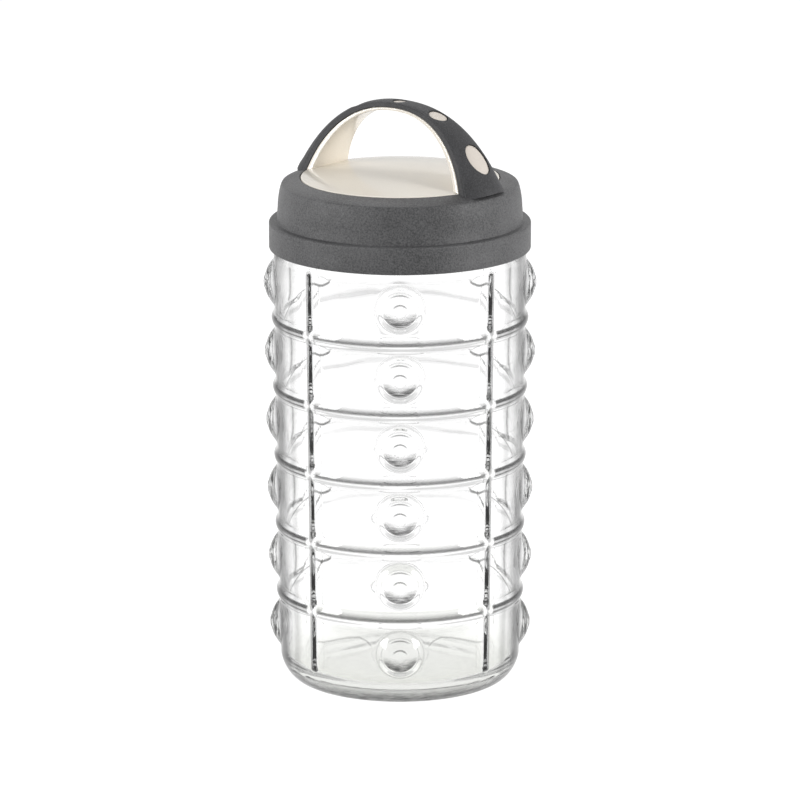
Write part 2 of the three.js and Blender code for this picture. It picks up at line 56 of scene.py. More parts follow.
def aimed(name, data, place, target):
    """New object in the scene that stands at a place and looks at a target."""
    made = bpy.data.objects.new(name, data)
    made.location = place
    made.rotation_mode = "QUATERNION"
    made.rotation_quaternion = (target - made.location).to_track_quat("-Z", "Y")
    bpy.context.scene.collection.objects.link(made)
    return made


camera_data = bpy.data.cameras.new("photo_view")
camera_data.sensor_width = SENSOR_MM
camera_data.lens = SENSOR_MM * FOCAL_PIXELS / PICTURE_PIXELS
camera_data.clip_start = 0.05
camera_data.clip_end = 50
bpy.context.scene.camera = aimed("photo_view", camera_data, CAMERA_PLACE, CAMERA_AIM)

# Glass jar: one piece of clear soda glass, pressed and blown in a two-part mould that leaves
# six rows of round bumps, five level ribs and four upright ribs on it. The wall runs out
# slightly from foot to shoulder, the floor is thick and the neck has six short beads for the lid.
BUMP_ROWS = 6
BUMP_COLUMNS = 4
FIRST_BUMP_Z = 23.6
ROW_PITCH = 30.8
BUMP_HALF_WIDTH = 10.1
BUMP_HALF_HEIGHT = 10.2
BUMP_PROUD = 4.2
BUMP_FILLET = 1.1
CAP_SHARE = 0.93
CAP_FALL = 2
NIPPLE_RADIUS = 2.6
NIPPLE_PROUD = 0.3
NIPPLE_EDGE = 1.2
DIMPLE_RADIUS = 7.5
DIMPLE_DEPTH = 1.6
LEVEL_HALF_WIDTH = 4.4
LEVEL_PROUD = 1.35
RIB_HALF_WIDTH = 2.1
RIB_HALF_CREST = 0.5
RIB_PROUD = 1.7
RIB_ROUND = 0.3
RELIEF_FOOT = 1
WAVES = [(0.10, 3, 17), (0.07, 8, -11), (0.05, 13, 6.5)]
WAVE_FOOT_FADE = 12
WAVE_TOP_FADE = 8
HEEL_HEIGHT = 10.8
HEEL_DEPTH = 7.5
HEEL_POWER = 1.65
SHOULDER_RISE = 12.2
SHOULDER_HEIGHT = 7.8
SHOULDER_STEP = 7.95
SHOULDER_SHARES = [(0, 0), (0, 0.42), (0.45, 0.88), (1, 1)]
WALL_TAPER = 2.4
FOOT_WIDTH = 4.25
PUNT_DEPTH = 0.5
JAR_WALL = 3.4
FLOOR_THICKNESS = 6.4
FLOOR_CORNER = 7
MERGE_REACH = 1e-7
SLIVER = 1e-8
SHARP_EDGE = math.radians(50)
LIP_ROUND = 0.9
LUG_COUNT = 6
BEAD_RISE = 10
BEAD_HEIGHT = 2.4
BEAD_PROUD = 1.2
BEAD_SWEEP = math.radians(24)
BEVEL = 0.6
BAND_STEP = 3.4
CROWN_DRAFT = 0.45
SHELL_WALL = 2.85
SKIRT_WALL = 1.4
SEAT_GAP = 0.3
BEAD_PLAY = 0.2
GLASS_TINT = "F7F8F4"
GLASS_IOR = 1.5
# Painted shade on the glass: these stops, lines and noise darken its colour on camera rays.
OUT_OF_REACH = 99
SHADED_RISE = 4
HEEL_SKIN = 2.4
HEEL_LEAN = 0.9
VEIL_GAP = 5
VEIL_FADE = 10
UPRIGHT_SHADES = [(0, 0.5), (0.5, 0.54), (0.9, 0.5), (1.25, 0.2), (1.65, 0.36), (1.95, 0.22),
                  (2.15, 0)]
LEVEL_SHADES = [(-1.2, 0), (-0.7, 0.3), (-0.3, 0.72), (0.2, 0.8), (0.7, 0.66), (1.3, 0.42),
                (2, 0.2), (2.8, 0)]
SIDE_SHADES = [(-2.3, 0), (-1.9, 0.55), (-1.5, 0.2), (-1.25, 0.75), (-0.95, 0.9), (-0.6, 0.55),
               (0, 0.35), (0.35, 0.6), (0.7, 0.94), (1.1, 0.86), (1.5, 0.92), (1.8, 0.7), (2.2, 0)]
VEIL_SHADES = [(-14, 0), (-10, 0.03), (-6, 0.13), (-3.4, 0.15), (-2.6, 0)]
HEEL_SHADES = [(0, 0.84), (2.5, 0.76), (4.5, 0.5), (6, 0.28), (7.5, 0.15), (9, 0.12), (10.5, 0.22),
               (12, 0.14), (15, 0.08), (24, 0.06), (30, 0)]
CRESCENT_SHADES = [(-7.5, 0.7), (-5.9, 0.8), (-4.4, 0.76), (-3, 0.62), (-1.8, 0.36), (-0.2, 0)]
NIPPLE_SHADES = [(2.5, 0), (3.05, 0.82), (3.5, 0)]
ARC_SHADES = [(6.4, 0), (6.9, 0.75), (7.3, 0)]
RING_SHADES = [(7.5, 0), (7.9, 0.22), (8.4, 0), (9.8, 0), (10.4, 0.22), (11, 0)]
CONTOUR_SHADES = [(0.6, 0), (0.74, 0.12), (0.84, 0.45), (0.93, 0.6), (1, 0.6)]
PANEL_SHADES = [(0.42, 0), (0.45, 0.05), (0.5, 0.3), (0.53, 0.3), (0.56, 0.18), (0.605, 0.32),
                (0.64, 0.5), (0.68, 0.66), (0.73, 0.78), (0.78, 0.84), (0.84, 0.84), (0.92, 0.6),
                (1, 0.5)]
MITRE_FADE = (-0.4, 1)
MITRE_CLEAR = 1.6
CRESCENT_EDGE = (6.8, 7.5)
CRESCENT_MIDDLE = (1.5, 6)
NIPPLE_SIDE = (0.8, 2.9)
ARC_SIDE = (5.2, 7)
CONTOUR_EDGE = (11, 12)
HEEL_EDGE = (0.009, 0.012)
PANEL_FOOT = (0.03, 0.05)
PANEL_CLEAR = (8, 11)
STREAK_RANGE = (0.3, 0.7)
SHADE_CLOUD_RANGE = (0.35, 0.65)
LINE_FADE = 0.8
# Painted lines, in place of those that the back of the jar and the floor throw into the panels.
PAINTED_RIPPLE_LINE = ([(31.3, 11), (33, 9.6), (35.5, 8.4), (37.5, 8), (40, 8.4), (42, 8.1)], 1.1, 0.78)
PAINTED_HOOK_LINE = ([(30.5, 11.6), (33, 11.1), (35, 12), (37.5, 12.3)], 0.5, 0.35)
PAINTED_SLANT_LINE = ([(22.5, -12), (26, -7.7), (29.5, -3.9), (32.3, -1.2), (36.5, 2.4), (40.8, 5.3)],
              0.6, 0.55)
PAINTED_STREAK_LINE = ([(-3, 27.5), (1, 29.2), (6, 29.6), (13, 29.4)], 1.3, 0.5)
PAINTED_BASE_LINE = ([(12.2, 3), (14.5, 5.6), (18, 7.1), (23, 6.4), (27.6, 5.1), (33, 3.2), (36, 2.3),
              (39.4, 1.8), (42, 3)], 0.8, 0.35)
SIDE_PANEL = (0.27, 0.36)
UPPER_ROWS = (0.036, 0.04)
TINT_TOP = 0.03
SHADE_STREAK_SCALES = (250, 250, 1500)
SHADE_CLOUD_SCALES = (40, 40, 25)
WAVE_SCALE = 45
WAVE_STRENGTH = 0.06
WAVE_DEPTH = 0.4 * MM

jar_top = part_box("glass_jar")[1] / MM
shell_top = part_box("lid_shell")[1] / MM
band_radius = shell_top.x
crown_top_radius = band_radius - BAND_STEP - CROWN_DRAFT
skirt_radius = crown_top_radius - SHELL_WALL - SEAT_GAP
skirt_inner_radius = skirt_radius - SKIRT_WALL
neck_radius = skirt_inner_radius - BEAD_PLAY - BEAD_PROUD
mouth_radius = neck_radius - JAR_WALL
shoulder_radius = neck_radius + SHOULDER_STEP
heel_top_radius = shoulder_radius - WALL_TAPER
punt_radius = heel_top_radius - HEEL_DEPTH - FOOT_WIDTH
shoulder_z = FIRST_BUMP_Z + ROW_PITCH * (BUMP_ROWS - 1) + SHOULDER_RISE
neck_foot_z = shoulder_z + SHOULDER_HEIGHT
bead_under_z = neck_foot_z + BEAD_RISE
lip_z = jar_top.z


def linear(code):
    """Linear colour, with alpha 1, of a six-figure web colour: each part over 255, with the
    standard screen curve undone."""
    parts = np.array([int(code[i:i + 2], 16) for i in (0, 2, 4)]) / 255
    curved = np.where(parts <= 0.04045, parts / 12.92, ((parts + 0.055) / 1.055) ** 2.4)
    return (*curved, 1)


def smooth_max(a, b, soft):
    """The larger of two values. Where they differ by less than soft, it is raised by the square
    of what the difference lacks of soft, over four times soft."""
    overlap = np.maximum(soft - np.abs(a - b), 0)
    return np.maximum(a, b) + overlap ** 2 / (4 * soft)


def smooth_min(a, b, soft):
    """The smaller of two values, rounded as smooth_max rounds."""
    return -smooth_max(-a, -b, soft)


def smooth_step(share):
    """0 below 0, 1 above 1, and between them three times the share's square less twice its cube."""
    s = np.clip(share, 0, 1)
    return s * s * (3 - 2 * s)


def spaced(stops, counts):
    """Places from the first stop to the last, with an equal number of steps, counts[i], from
    each stop to the next."""
    runs = [np.linspace(*run, endpoint=False) for run in zip(stops, stops[1:], counts)]
    return np.append(np.concatenate(runs), stops[-1])


def arc(centre, radii, start, end, steps):
    """Points of the arc of an ellipse, or of a circle if one radius is given: the centre plus
    the first radius times the cosine and the second times the sine of each angle, from start to
    end in degrees."""
    t = np.radians(np.linspace(start, end, steps + 1))
    return np.array(centre) + np.stack([np.cos(t), np.sin(t)], 1) * radii


def bezier(corners, steps):
    """Cubic curve through the first and last of four corners: each weighted by 1, 3, 3, 1
    times its powers of t and 1 - t."""
    t = np.linspace(0, 1, steps + 1)[:, None]
    a, b, c, d = np.array(corners, float)
    return a * (1 - t) ** 3 + b * 3 * t * (1 - t) ** 2 + c * 3 * t ** 2 * (1 - t) + d * t ** 3


def profile(radii, heights):
    """Rows of a radius and a height each. Either may be one number for all the rows."""
    return np.stack(np.broadcast_arrays(radii, heights), 1)


def oval_edge(corner, inset, rise, power, turns):
    """Profile that rounds a corner with a quarter of a superellipse: at each turn it lies inset
    times what the cosine, raised to 2 over power, lacks of 1 inside the corner, and rise times
    what the sine so raised lacks of 1 above it."""
    across, up = np.cos(turns) ** (2 / power), np.sin(turns) ** (2 / power)
    return profile(corner[0] - inset * (1 - across), corner[1] + rise * (1 - up))


def around(radius, angle, z):
    """Points at a radius, at an angle about the jar's axis and at height z: the radius times the
    cosine and the sine of the angle, then z."""
    radius, angle, z = np.broadcast_arrays(radius, angle, z)
    return np.stack([radius * np.cos(angle), radius * np.sin(angle), z], -1)


def mesh_object(name, points, quads):
    """Smooth-shaded object from points in millimetres and rows of four point numbers. Points
    that coincide are merged and the faces turned outwards."""
    mesh = bpy.data.meshes.new(name)
    mesh.from_pydata((points * MM).tolist(), [], quads.tolist())
    work = bmesh.new()
    work.from_mesh(mesh)
    bmesh.ops.remove_doubles(work, verts=work.verts, dist=MERGE_REACH)
    bmesh.ops.dissolve_degenerate(work, edges=work.edges, dist=SLIVER)
    loose = [v for v in work.verts if not v.link_faces]
    bmesh.ops.delete(work, geom=loose, context="VERTS")
    bmesh.ops.recalc_face_normals(work, faces=work.faces)
    work.to_mesh(mesh)
    work.free()
    mesh.polygons.foreach_set("use_smooth", np.ones(len(mesh.polygons), bool))
    mesh.set_sharp_from_angle(angle=SHARP_EDGE)
    piece = bpy.data.objects.new(name, mesh)
    bpy.context.scene.collection.objects.link(piece)
    return piece


def grid_quads(rows, columns, closed_rows=False):
    """Point numbers of the squares of a grid whose columns close round on themselves, and
    whose rows do too where closed_rows is set."""
    ids = np.arange(rows * columns).reshape(rows, columns)
    last = rows if closed_rows else rows - 1
    low = ids[:last]
    high = np.roll(ids, -1, axis=0)[:last]
    corners = [low, np.roll(low, -1, axis=1), np.roll(high, -1, axis=1), high]
    return np.stack(corners, -1).reshape(-1, 4)


def grid_object(name, points, closed_rows=False):
    """Object whose points are a grid of rows by columns."""
    rows, columns = points.shape[:2]
    return mesh_object(name, points.reshape(-1, 3), grid_quads(rows, columns, closed_rows))


def wall_radius(z):
    """Outside radius of the jar's plain wall, a straight line from the heel to the shoulder."""
    share = (z - HEEL_HEIGHT) / (shoulder_z - HEEL_HEIGHT)
    return heel_top_radius + (shoulder_radius - heel_top_radius) * share


def off_nearest(value, first, pitch, count):
    """Distance from value to the nearest of count places, the first at first and pitch apart.
    For angles, one place more than the circle holds brings it back to the first."""
    index = np.clip(np.round((value - first) / pitch), 0, count - 1)
    return value - first - pitch * index


def level_height(distance):
    """Height of a level rib at a distance from its middle: half a cosine wave, lifted to end
    level with the wall."""
    share = np.clip(np.abs(distance) / LEVEL_HALF_WIDTH, 0, 1)
    return LEVEL_PROUD * (1 + np.cos(math.pi * share)) / 2


def rib_height(distance):
    """Height of an upright rib at a distance from its middle: flat crest, straight flanks,
    rounded corners."""
    slope = RIB_PROUD / (RIB_HALF_WIDTH - RIB_HALF_CREST)
    flank = slope * (RIB_HALF_WIDTH - np.abs(distance))
    return smooth_max(smooth_min(flank, RIB_PROUD, RIB_ROUND), 0, RIB_ROUND)


def relief_offsets(angle, z):
    """Distances along the wall from the nearest column and row of bumps, upright rib and level
    rib. Beyond a rib's end the distance from it is taken slantwise, which rounds the end."""
    column = 2 * math.pi / BUMP_COLUMNS
    radius = wall_radius(np.clip(z, HEEL_HEIGHT, shoulder_z))
    off_column = off_nearest(angle, 0, column, BUMP_COLUMNS + 1) * radius
    off_row = off_nearest(z, FIRST_BUMP_Z, ROW_PITCH, BUMP_ROWS)
    off_level = off_nearest(z, FIRST_BUMP_Z + ROW_PITCH / 2, ROW_PITCH, BUMP_ROWS - 1)
    beyond = np.maximum(np.maximum(HEEL_HEIGHT + RIB_HALF_WIDTH - z,
                                   z - shoulder_z + RIB_HALF_WIDTH / 3), 0)
    off_rib = np.hypot(off_nearest(angle, column / 2, column, BUMP_COLUMNS) * radius, beyond)
    return off_column, off_row, off_rib, off_level


def raised_work(angle, z):
    """How far the moulded relief stands out of the wall at an angle and a height. Ribs meet as
    the higher of the two, which leaves mitre lines; a bump is the cap of an ellipsoid with a
    fillet round its foot and a small flat nipple."""
    off_column, off_row, off_rib, off_level = relief_offsets(angle, z)
    ribs = np.maximum(rib_height(off_rib), level_height(off_level))
    out = np.hypot(off_column / BUMP_HALF_WIDTH, off_row / BUMP_HALF_HEIGHT)
    ball = (BUMP_HALF_WIDTH ** 2 + BUMP_PROUD ** 2) / (2 * BUMP_PROUD)
    reach = np.minimum(out * BUMP_HALF_WIDTH, CAP_SHARE * ball)
    cap = np.sqrt(ball ** 2 - reach ** 2) - (ball - BUMP_PROUD)
    cap = cap - np.maximum(out * BUMP_HALF_WIDTH - reach, 0) * CAP_FALL
    nipple_share = (NIPPLE_RADIUS - np.hypot(off_column, off_row)) / NIPPLE_EDGE + 0.5
    nipple = NIPPLE_PROUD * smooth_step(nipple_share)
    return np.maximum(ribs, smooth_max(cap, 0, BUMP_FILLET)) + nipple


def bead_height(angle, z):
    """How far a bead stands out of the neck: full height, with bevels at its edges and ends."""
    off_bead = off_nearest(angle, 0, 2 * math.pi / LUG_COUNT, LUG_COUNT + 1)
    inside = (BEAD_SWEEP / 2 - np.abs(off_bead)) * neck_radius
    inside = np.minimum(inside, z - bead_under_z + BEVEL / 2)
    inside = np.minimum(inside, bead_under_z + BEAD_HEIGHT - z)
    return BEAD_PROUD * smooth_step(inside / BEVEL)


def inner_relief(angle, z):
    """How far the blown inside wall lies from its plain cone: a shallow hollow behind each bump
    and the slow waves that blowing leaves. The hollow is its depth times the square of what the
    squared share of its radius lacks of 1. Each wave is its depth times the sine of its turns
    times the angle plus the height over its rise."""
    column = 2 * math.pi / BUMP_COLUMNS
    off_column = off_nearest(angle, 0, column, BUMP_COLUMNS + 1) * (shoulder_radius - JAR_WALL)
    off_row = off_nearest(z, FIRST_BUMP_Z, ROW_PITCH, BUMP_ROWS)
    out = np.minimum(np.hypot(off_column, off_row) / DIMPLE_RADIUS, 1)
    hollow = DIMPLE_DEPTH * (1 - out ** 2) ** 2
    waves = sum(depth * np.sin(turns * angle + z / rise) for depth, turns, rise in WAVES)
    fade = (smooth_step((z - FLOOR_THICKNESS) / WAVE_FOOT_FADE)
            * smooth_step((shoulder_z - z) / WAVE_TOP_FADE))
    return hollow + waves * fade


# Angles of the mesh, closest at the edges of the bumps and on the upright ribs.
bump_stops = [0, 3.4, 7.7, 11.7]
rib_stops = [42.4, 47.6]
quarter_stops = np.array(bump_stops + rib_stops + [90 - stop for stop in bump_stops[::-1]])
quarter = spaced(np.radians(quarter_stops), [5, 4, 8, 7, 10, 7, 8, 4, 5])[:-1]
jar_angles = np.concatenate([quarter + math.pi / 2 * k for k in range(4)])

# Heights of the mesh up the wall, closest at the edges of the bumps and on the level ribs.
row_stops = [-11.4, -7.4, -3.2, 3.2, 7.4, 11.4]
row_counts = [8, 4, 8, 4, 8, 14]
wall_stops = [HEEL_HEIGHT]
wall_counts = [3]
for row in range(BUMP_ROWS):
    middle = FIRST_BUMP_Z + ROW_PITCH * row
    wall_stops += [middle + s for s in row_stops]
    wall_counts += row_counts if row < BUMP_ROWS - 1 else row_counts[:-1]
wall_stops += [shoulder_z]
wall_counts += [2]
wall_heights = spaced(wall_stops, wall_counts)

# Profile of the jar: under the foot, up the outside, over the lip and down the inside.
foot_radii = np.linspace(0, 1, 9) * punt_radius
punt_share = np.clip(foot_radii / punt_radius * 2 - 1, 0, 1)
punt = profile(foot_radii, PUNT_DEPTH * (1 + np.cos(math.pi * punt_share)) / 2)
heel_turn = np.radians(np.linspace(90, 0, 15))
heel = oval_edge((heel_top_radius, 0), HEEL_DEPTH, HEEL_HEIGHT, HEEL_POWER, heel_turn)
wall = profile(wall_radius(wall_heights), wall_heights)
shoulder_drop = np.array([-SHOULDER_STEP, SHOULDER_HEIGHT])
shoulder = np.array([shoulder_radius, shoulder_z]) + bezier(SHOULDER_SHARES, 10) * shoulder_drop
bead_top_z = bead_under_z + BEAD_HEIGHT
neck_heights = spaced([neck_foot_z, bead_under_z - BEVEL, bead_under_z + BEVEL,
                       bead_top_z - BEVEL, bead_top_z, lip_z - LIP_ROUND], [2, 4, 1, 4, 1])
neck = profile(neck_radius, neck_heights)
lip = np.concatenate([
    arc((neck_radius - LIP_ROUND, lip_z - LIP_ROUND), LIP_ROUND, 0, 90, 4),
    arc((mouth_radius + LIP_ROUND, lip_z - LIP_ROUND), LIP_ROUND, 90, 180, 4),
])
inner_shoulder = np.array([-JAR_WALL, -LIP_ROUND]) + shoulder[::-1]
inner_stops = [FLOOR_THICKNESS + FLOOR_CORNER]
inner_counts = []
for row in range(BUMP_ROWS):
    middle = FIRST_BUMP_Z + ROW_PITCH * row
    inner_stops += [middle - DIMPLE_RADIUS, middle + DIMPLE_RADIUS]
    inner_counts += [2 if row == 0 else 4, 8]
inner_stops += [shoulder_z - LIP_ROUND - 1]
inner_counts += [2]
inner_heights = spaced(inner_stops, inner_counts)[::-1]
inner_wall = profile(wall_radius(inner_heights) - JAR_WALL, inner_heights)
corner_z = FLOOR_THICKNESS + FLOOR_CORNER
corner_radius = wall_radius(corner_z) - JAR_WALL - FLOOR_CORNER
corner = arc((corner_radius, corner_z), FLOOR_CORNER, 0, -90, 8)
floor_rows = profile(np.linspace(corner_radius, 0, 6), FLOOR_THICKNESS)

outside = np.concatenate([punt, heel[:-1], wall, shoulder[1:-1]])
inside = np.concatenate([inner_shoulder, inner_wall])
bottom = np.concatenate([corner[1:], floor_rows[1:]])
profiles = [(outside, raised_work(jar_angles, outside[:, 1:]) * (outside[:, 1:] > RELIEF_FOOT)),
            (neck, bead_height(jar_angles, neck[:, 1:])), (lip, 0),
            (inside, inner_relief(jar_angles, inside[:, 1:])), (bottom, 0)]
jar_points = np.concatenate([around(rows[:, :1] + relief, jar_angles, rows[:, 1:])
                             for rows, relief in profiles])
jar = grid_object("jar_glass", jar_points)


def stepped(value, stops):
    """Value of a broken line through the given (place, height) stops, level beyond its ends."""
    return np.interp(value, *zip(*stops))


def painted_soft_shade(off_row, off_rib, z):
    """Painted shade: share of the colour taken off under each level rib and on the thick heel."""
    rise = np.where(off_row > 0, off_row, off_row + ROW_PITCH) - ROW_PITCH / 2
    under_rib_shade = stepped(rise, VEIL_SHADES) * smooth_step((off_rib - VEIL_GAP) / VEIL_FADE)
    return 1 - (1 - under_rib_shade) * (1 - stepped(z, HEEL_SHADES))


def add_shading(piece):
    """Give each point of the jar's outer wall its painted soft shade and, in millimetres, its
    distances from the ribs and the bumps, as attributes for the material's painted shade."""
    places = np.empty(len(piece.data.vertices) * 3, np.float32)
    piece.data.vertices.foreach_get("co", places)
    x, y, z = places.reshape(-1, 3).T / MM
    radius = np.hypot(x, y)
    off_column, off_row, off_rib, off_level = relief_offsets(np.arctan2(y, x) % (2 * math.pi), z)
    heel_skin = heel_top_radius - HEEL_SKIN - HEEL_LEAN * (HEEL_HEIGHT - z)
    least = np.where(z < HEEL_HEIGHT, heel_skin, wall_radius(z) - JAR_WALL / 2)
    outer = (radius > least) & (z < shoulder_z + SHADED_RISE)
    distances = {
        "off_column": np.abs(off_column), "off_row": off_row, "off_rib": off_rib,
        "off_level": off_level,
        "off_bump": np.hypot(off_column, off_row * BUMP_HALF_WIDTH / BUMP_HALF_HEIGHT)}
    made = {name: np.where(outer, values, OUT_OF_REACH) for name, values in distances.items()}
    made["painted_soft_shade"] = painted_soft_shade(off_row, off_rib, z) * outer
    for name, values in made.items():
        attribute = piece.data.attributes.new(name, "FLOAT", "POINT")
        attribute.data.foreach_set("value", values.astype(np.float32))


add_shading(jar)


class Shader:
    """A node tree with short ways to fill it. Each input is given as a plain value or as the
    socket that feeds it, under its name or its number."""

    def __init__(self, tree):
        self.tree = tree

    def node(self, kind, inputs=(), **settings):
        """New node with its settings made and its inputs filled in."""
        made = self.tree.nodes.new(kind)
        for name, value in settings.items():
            setattr(made, name, value)
        for name, value in dict(inputs).items():
            if isinstance(value, bpy.types.NodeSocket):
                self.tree.links.new(value, made.inputs[name])
            else:
                made.inputs[name].default_value = value
        return made

    def combined(self, operation, *values):
        """Result of a Math node."""
        return self.node("ShaderNodeMath", enumerate(values), operation=operation).outputs[0]

    def product(self, *factors):
        """All the factors multiplied together."""
        whole = factors[0]
        for factor in factors[1:]:
            whole = self.combined("MULTIPLY", whole, factor)
        return whole

    def remap(self, source, low, high, to_low, to_high):
        """Source taken smoothly from low..high to to_low..to_high, level beyond its ends."""
        values = {"Value": source, "From Min": low, "From Max": high,
                  "To Min": to_low, "To Max": to_high}
        made = self.node("ShaderNodeMapRange", values, interpolation_type="SMOOTHSTEP")
        return made.outputs["Result"]

    def ramp(self, source, stops):
        """Grey through (place, level) stops along the source, level beyond its ends."""
        first, span = stops[0][0], stops[-1][0] - stops[0][0]
        share = self.combined("DIVIDE", self.combined("SUBTRACT", source, first), span)
        made = self.node("ShaderNodeValToRGB", {"Fac": share})
        elements = made.color_ramp.elements
        for element, (_, level) in zip(elements, (stops[0], stops[-1])):
            element.color = (level, level, level, 1)
        for place, level in stops[1:-1]:
            elements.new((place - first) / span).color = (level, level, level, 1)
        return made.outputs["Color"]

    def noise(self, scale, detail, roughness=0.5):
        """Noise over the Object coordinates. Three scales instead of one stretch it."""
        place = self.node("ShaderNodeTexCoord").outputs["Object"]
        if isinstance(scale, tuple):
            stretch = self.node("ShaderNodeMapping", {"Vector": place, "Scale": scale})
            place, scale = stretch.outputs["Vector"], 1
        values = {"Vector": place, "Scale": scale, "Detail": detail, "Roughness": roughness}
        return self.node("ShaderNodeTexNoise", values).outputs["Fac"]


def new_material(name):
    """Empty node material and its tree."""
    made = bpy.data.materials.new(name)
    made.use_nodes = True
    made.node_tree.nodes.clear()
    return made, Shader(made.node_tree)


glass, tree = new_material("clear_glass_painted_shade")
combined, product, ramp, remap = tree.combined, tree.product, tree.ramp, tree.remap


def traced(along, height, path, half_width, depth):
    """Painted shade of a thin line through a path of (along, height) points: depth on the line,
    none half_width away from it or beyond its ends."""
    heights = [point[1] for point in path]
    low, span = min(heights), max(heights) - min(heights)
    level = ramp(along, [(place, (value - low) / span) for place, value in path])
    gap = combined("SUBTRACT", height, combined("MULTIPLY_ADD", level, span, low))
    return product(remap(combined("ABSOLUTE", gap), 0, half_width, depth, 0),
                   remap(along, path[0][0], path[0][0] + LINE_FADE, 0, 1),
                   remap(along, path[-1][0] - LINE_FADE, path[-1][0], 1, 0))


place = tree.node("ShaderNodeTexCoord").outputs["Object"]
up = tree.node("ShaderNodeSeparateXYZ", {0: place}).outputs["Z"]
flat = tree.node("ShaderNodeVectorMath", {0: place, 1: (1, 1, 0)}, operation="MULTIPLY")
outward = tree.node("ShaderNodeVectorMath", {0: flat.outputs["Vector"]}, operation="NORMALIZE")
wall_view = tree.node("ShaderNodeLayerWeight", {"Blend": 0.5, "Normal": outward.outputs["Vector"]})
wall_facing = wall_view.outputs["Facing"]
facing = tree.node("ShaderNodeLayerWeight", {"Blend": 0.5}).outputs["Facing"]
side = remap(wall_facing, *SIDE_PANEL, 0, 1)
front = combined("SUBTRACT", 1, side)
upper = remap(up, *UPPER_ROWS, 0, 1)
soft, along, row, off_rib, off_level, off_bump = [
    tree.node("ShaderNodeAttribute", attribute_name=name).outputs["Fac"]
    for name in ("painted_soft_shade", "off_column", "off_row", "off_rib", "off_level", "off_bump")]
shade_streaks = tree.noise(SHADE_STREAK_SCALES, 2)
shade_clouds = tree.noise(SHADE_CLOUD_SCALES, 2)
off_mitre = combined("SUBTRACT", combined("ABSOLUTE", off_level), off_rib)
level_front, level_side = ramp(off_level, LEVEL_SHADES), ramp(off_level, SIDE_SHADES)
level_change = combined("SUBTRACT", level_side, level_front)
# Painted shade: each entry darkens the glass's colour, on rays straight from the camera only.
painted_shades = [
    # Painted shade on the upright ribs, clear of the mitres where the level ribs meet them.
    product(ramp(off_rib, UPRIGHT_SHADES), remap(off_mitre, *MITRE_FADE, 0, 1)),
    # Painted shade on level ribs: one way on the front panels, another on the side panels.
    product(combined("MULTIPLY_ADD", level_change, side, level_front),
            remap(off_rib, RIB_HALF_WIDTH, RIB_HALF_WIDTH + MITRE_CLEAR, 0, 1)),
    # Painted shade: the soft band under each level rib, and the heel.
    product(soft, remap(shade_streaks, *STREAK_RANGE, 0.75, 1.15)),
    # Painted shade on the bumps: the lower half, an arc round the nipple, one above it, two rings
    # and the outline, which the heel has too.
    product(ramp(row, CRESCENT_SHADES), remap(off_bump, *CRESCENT_EDGE, 1, 0),
            remap(off_bump, *CRESCENT_MIDDLE, 0.35, 1), remap(shade_streaks, *STREAK_RANGE, 0.7, 1.2)),
    product(ramp(off_bump, NIPPLE_SHADES), remap(row, *NIPPLE_SIDE, 0, 1)),
    product(ramp(off_bump, ARC_SHADES), remap(row, *ARC_SIDE, 0, 1)),
    ramp(off_bump, RING_SHADES),
    product(ramp(facing, CONTOUR_SHADES),
            combined("MAXIMUM", remap(off_bump, *CONTOUR_EDGE, 1, 0),
                     remap(up, *HEEL_EDGE, 0.9, 0))),
    # Painted shade on the side panels, which darken as they turn away.
    product(ramp(wall_facing, PANEL_SHADES), remap(shade_clouds, *SHADE_CLOUD_RANGE, 0.75, 1.1),
            remap(up, *PANEL_FOOT, 1.1, 1), remap(off_bump, *PANEL_CLEAR, 0.3, 1)),
    # Painted lines for those that the back of the jar and the floor throw into the panels.
    product(traced(along, row, *PAINTED_RIPPLE_LINE), front, upper),
    product(traced(along, row, *PAINTED_HOOK_LINE), front, upper),
    product(traced(along, row, *PAINTED_SLANT_LINE), side, upper),
    product(traced(row, along, *PAINTED_STREAK_LINE), side, upper),
    product(traced(along, row, *PAINTED_BASE_LINE), front, combined("SUBTRACT", 1, upper)),
]
# Share of colour left by the painted shade, on camera rays; other rays see the glass unshaded.
kept = product(*[combined("SUBTRACT", 1, shade) for shade in painted_shades])
first_look = tree.node("ShaderNodeLightPath").outputs["Is Camera Ray"]
kept = combined("ADD", product(kept, first_look), combined("SUBTRACT", 1, first_look))
# The thick foot has the tint of the glass, and the painted shade darkens it. The shader takes
# the square root of its colour at each surface, which the power of 2 undoes.
deep = remap(up, 0, TINT_TOP, 1, 0)
tint = tree.node("ShaderNodeMix", {
    "Factor": deep, "A": linear("FFFFFF"), "B": linear(GLASS_TINT)}, data_type="RGBA")
shaded = tree.node("ShaderNodeMix", {
    "Factor": 1, "A": tint.outputs["Result"], "B": combined("POWER", kept, 2)
}, data_type="RGBA", blend_type="MULTIPLY")
uneven = tree.node("ShaderNodeBump", {
    "Strength": WAVE_STRENGTH, "Distance": WAVE_DEPTH, "Height": tree.noise(WAVE_SCALE, 1)})
body = tree.node("ShaderNodeBsdfPrincipled", {
    "Base Color": shaded.outputs["Result"], "Normal": uneven.outputs["Normal"], "Roughness": 0,
    "IOR": GLASS_IOR, "Transmission Weight": 1})
clear = tree.node("ShaderNodeBsdfTransparent")
mix = tree.node("ShaderNodeMixShader", {
    "Fac": tree.node("ShaderNodeLightPath").outputs["Is Shadow Ray"],
    1: body.outputs["BSDF"], 2: clear.outputs["BSDF"]})
tree.node("ShaderNodeOutputMaterial", {"Surface": mix.outputs["Shader"]})
jar.data.materials.append(glass)
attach(jar, "jar")
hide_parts("glass_jar")

# Seal ring: a soft flat ring of milky silicone, moulded in one piece. It lies loose on the
# glass lip, inside the lid, whose flange presses on it.
SEAL_THICKNESS = 1.5
SEAL_PLAY = 1.9
SEAL_ROUND = 0.4
PLUG_PLAY = 0.5
MILK_SCALE = 300

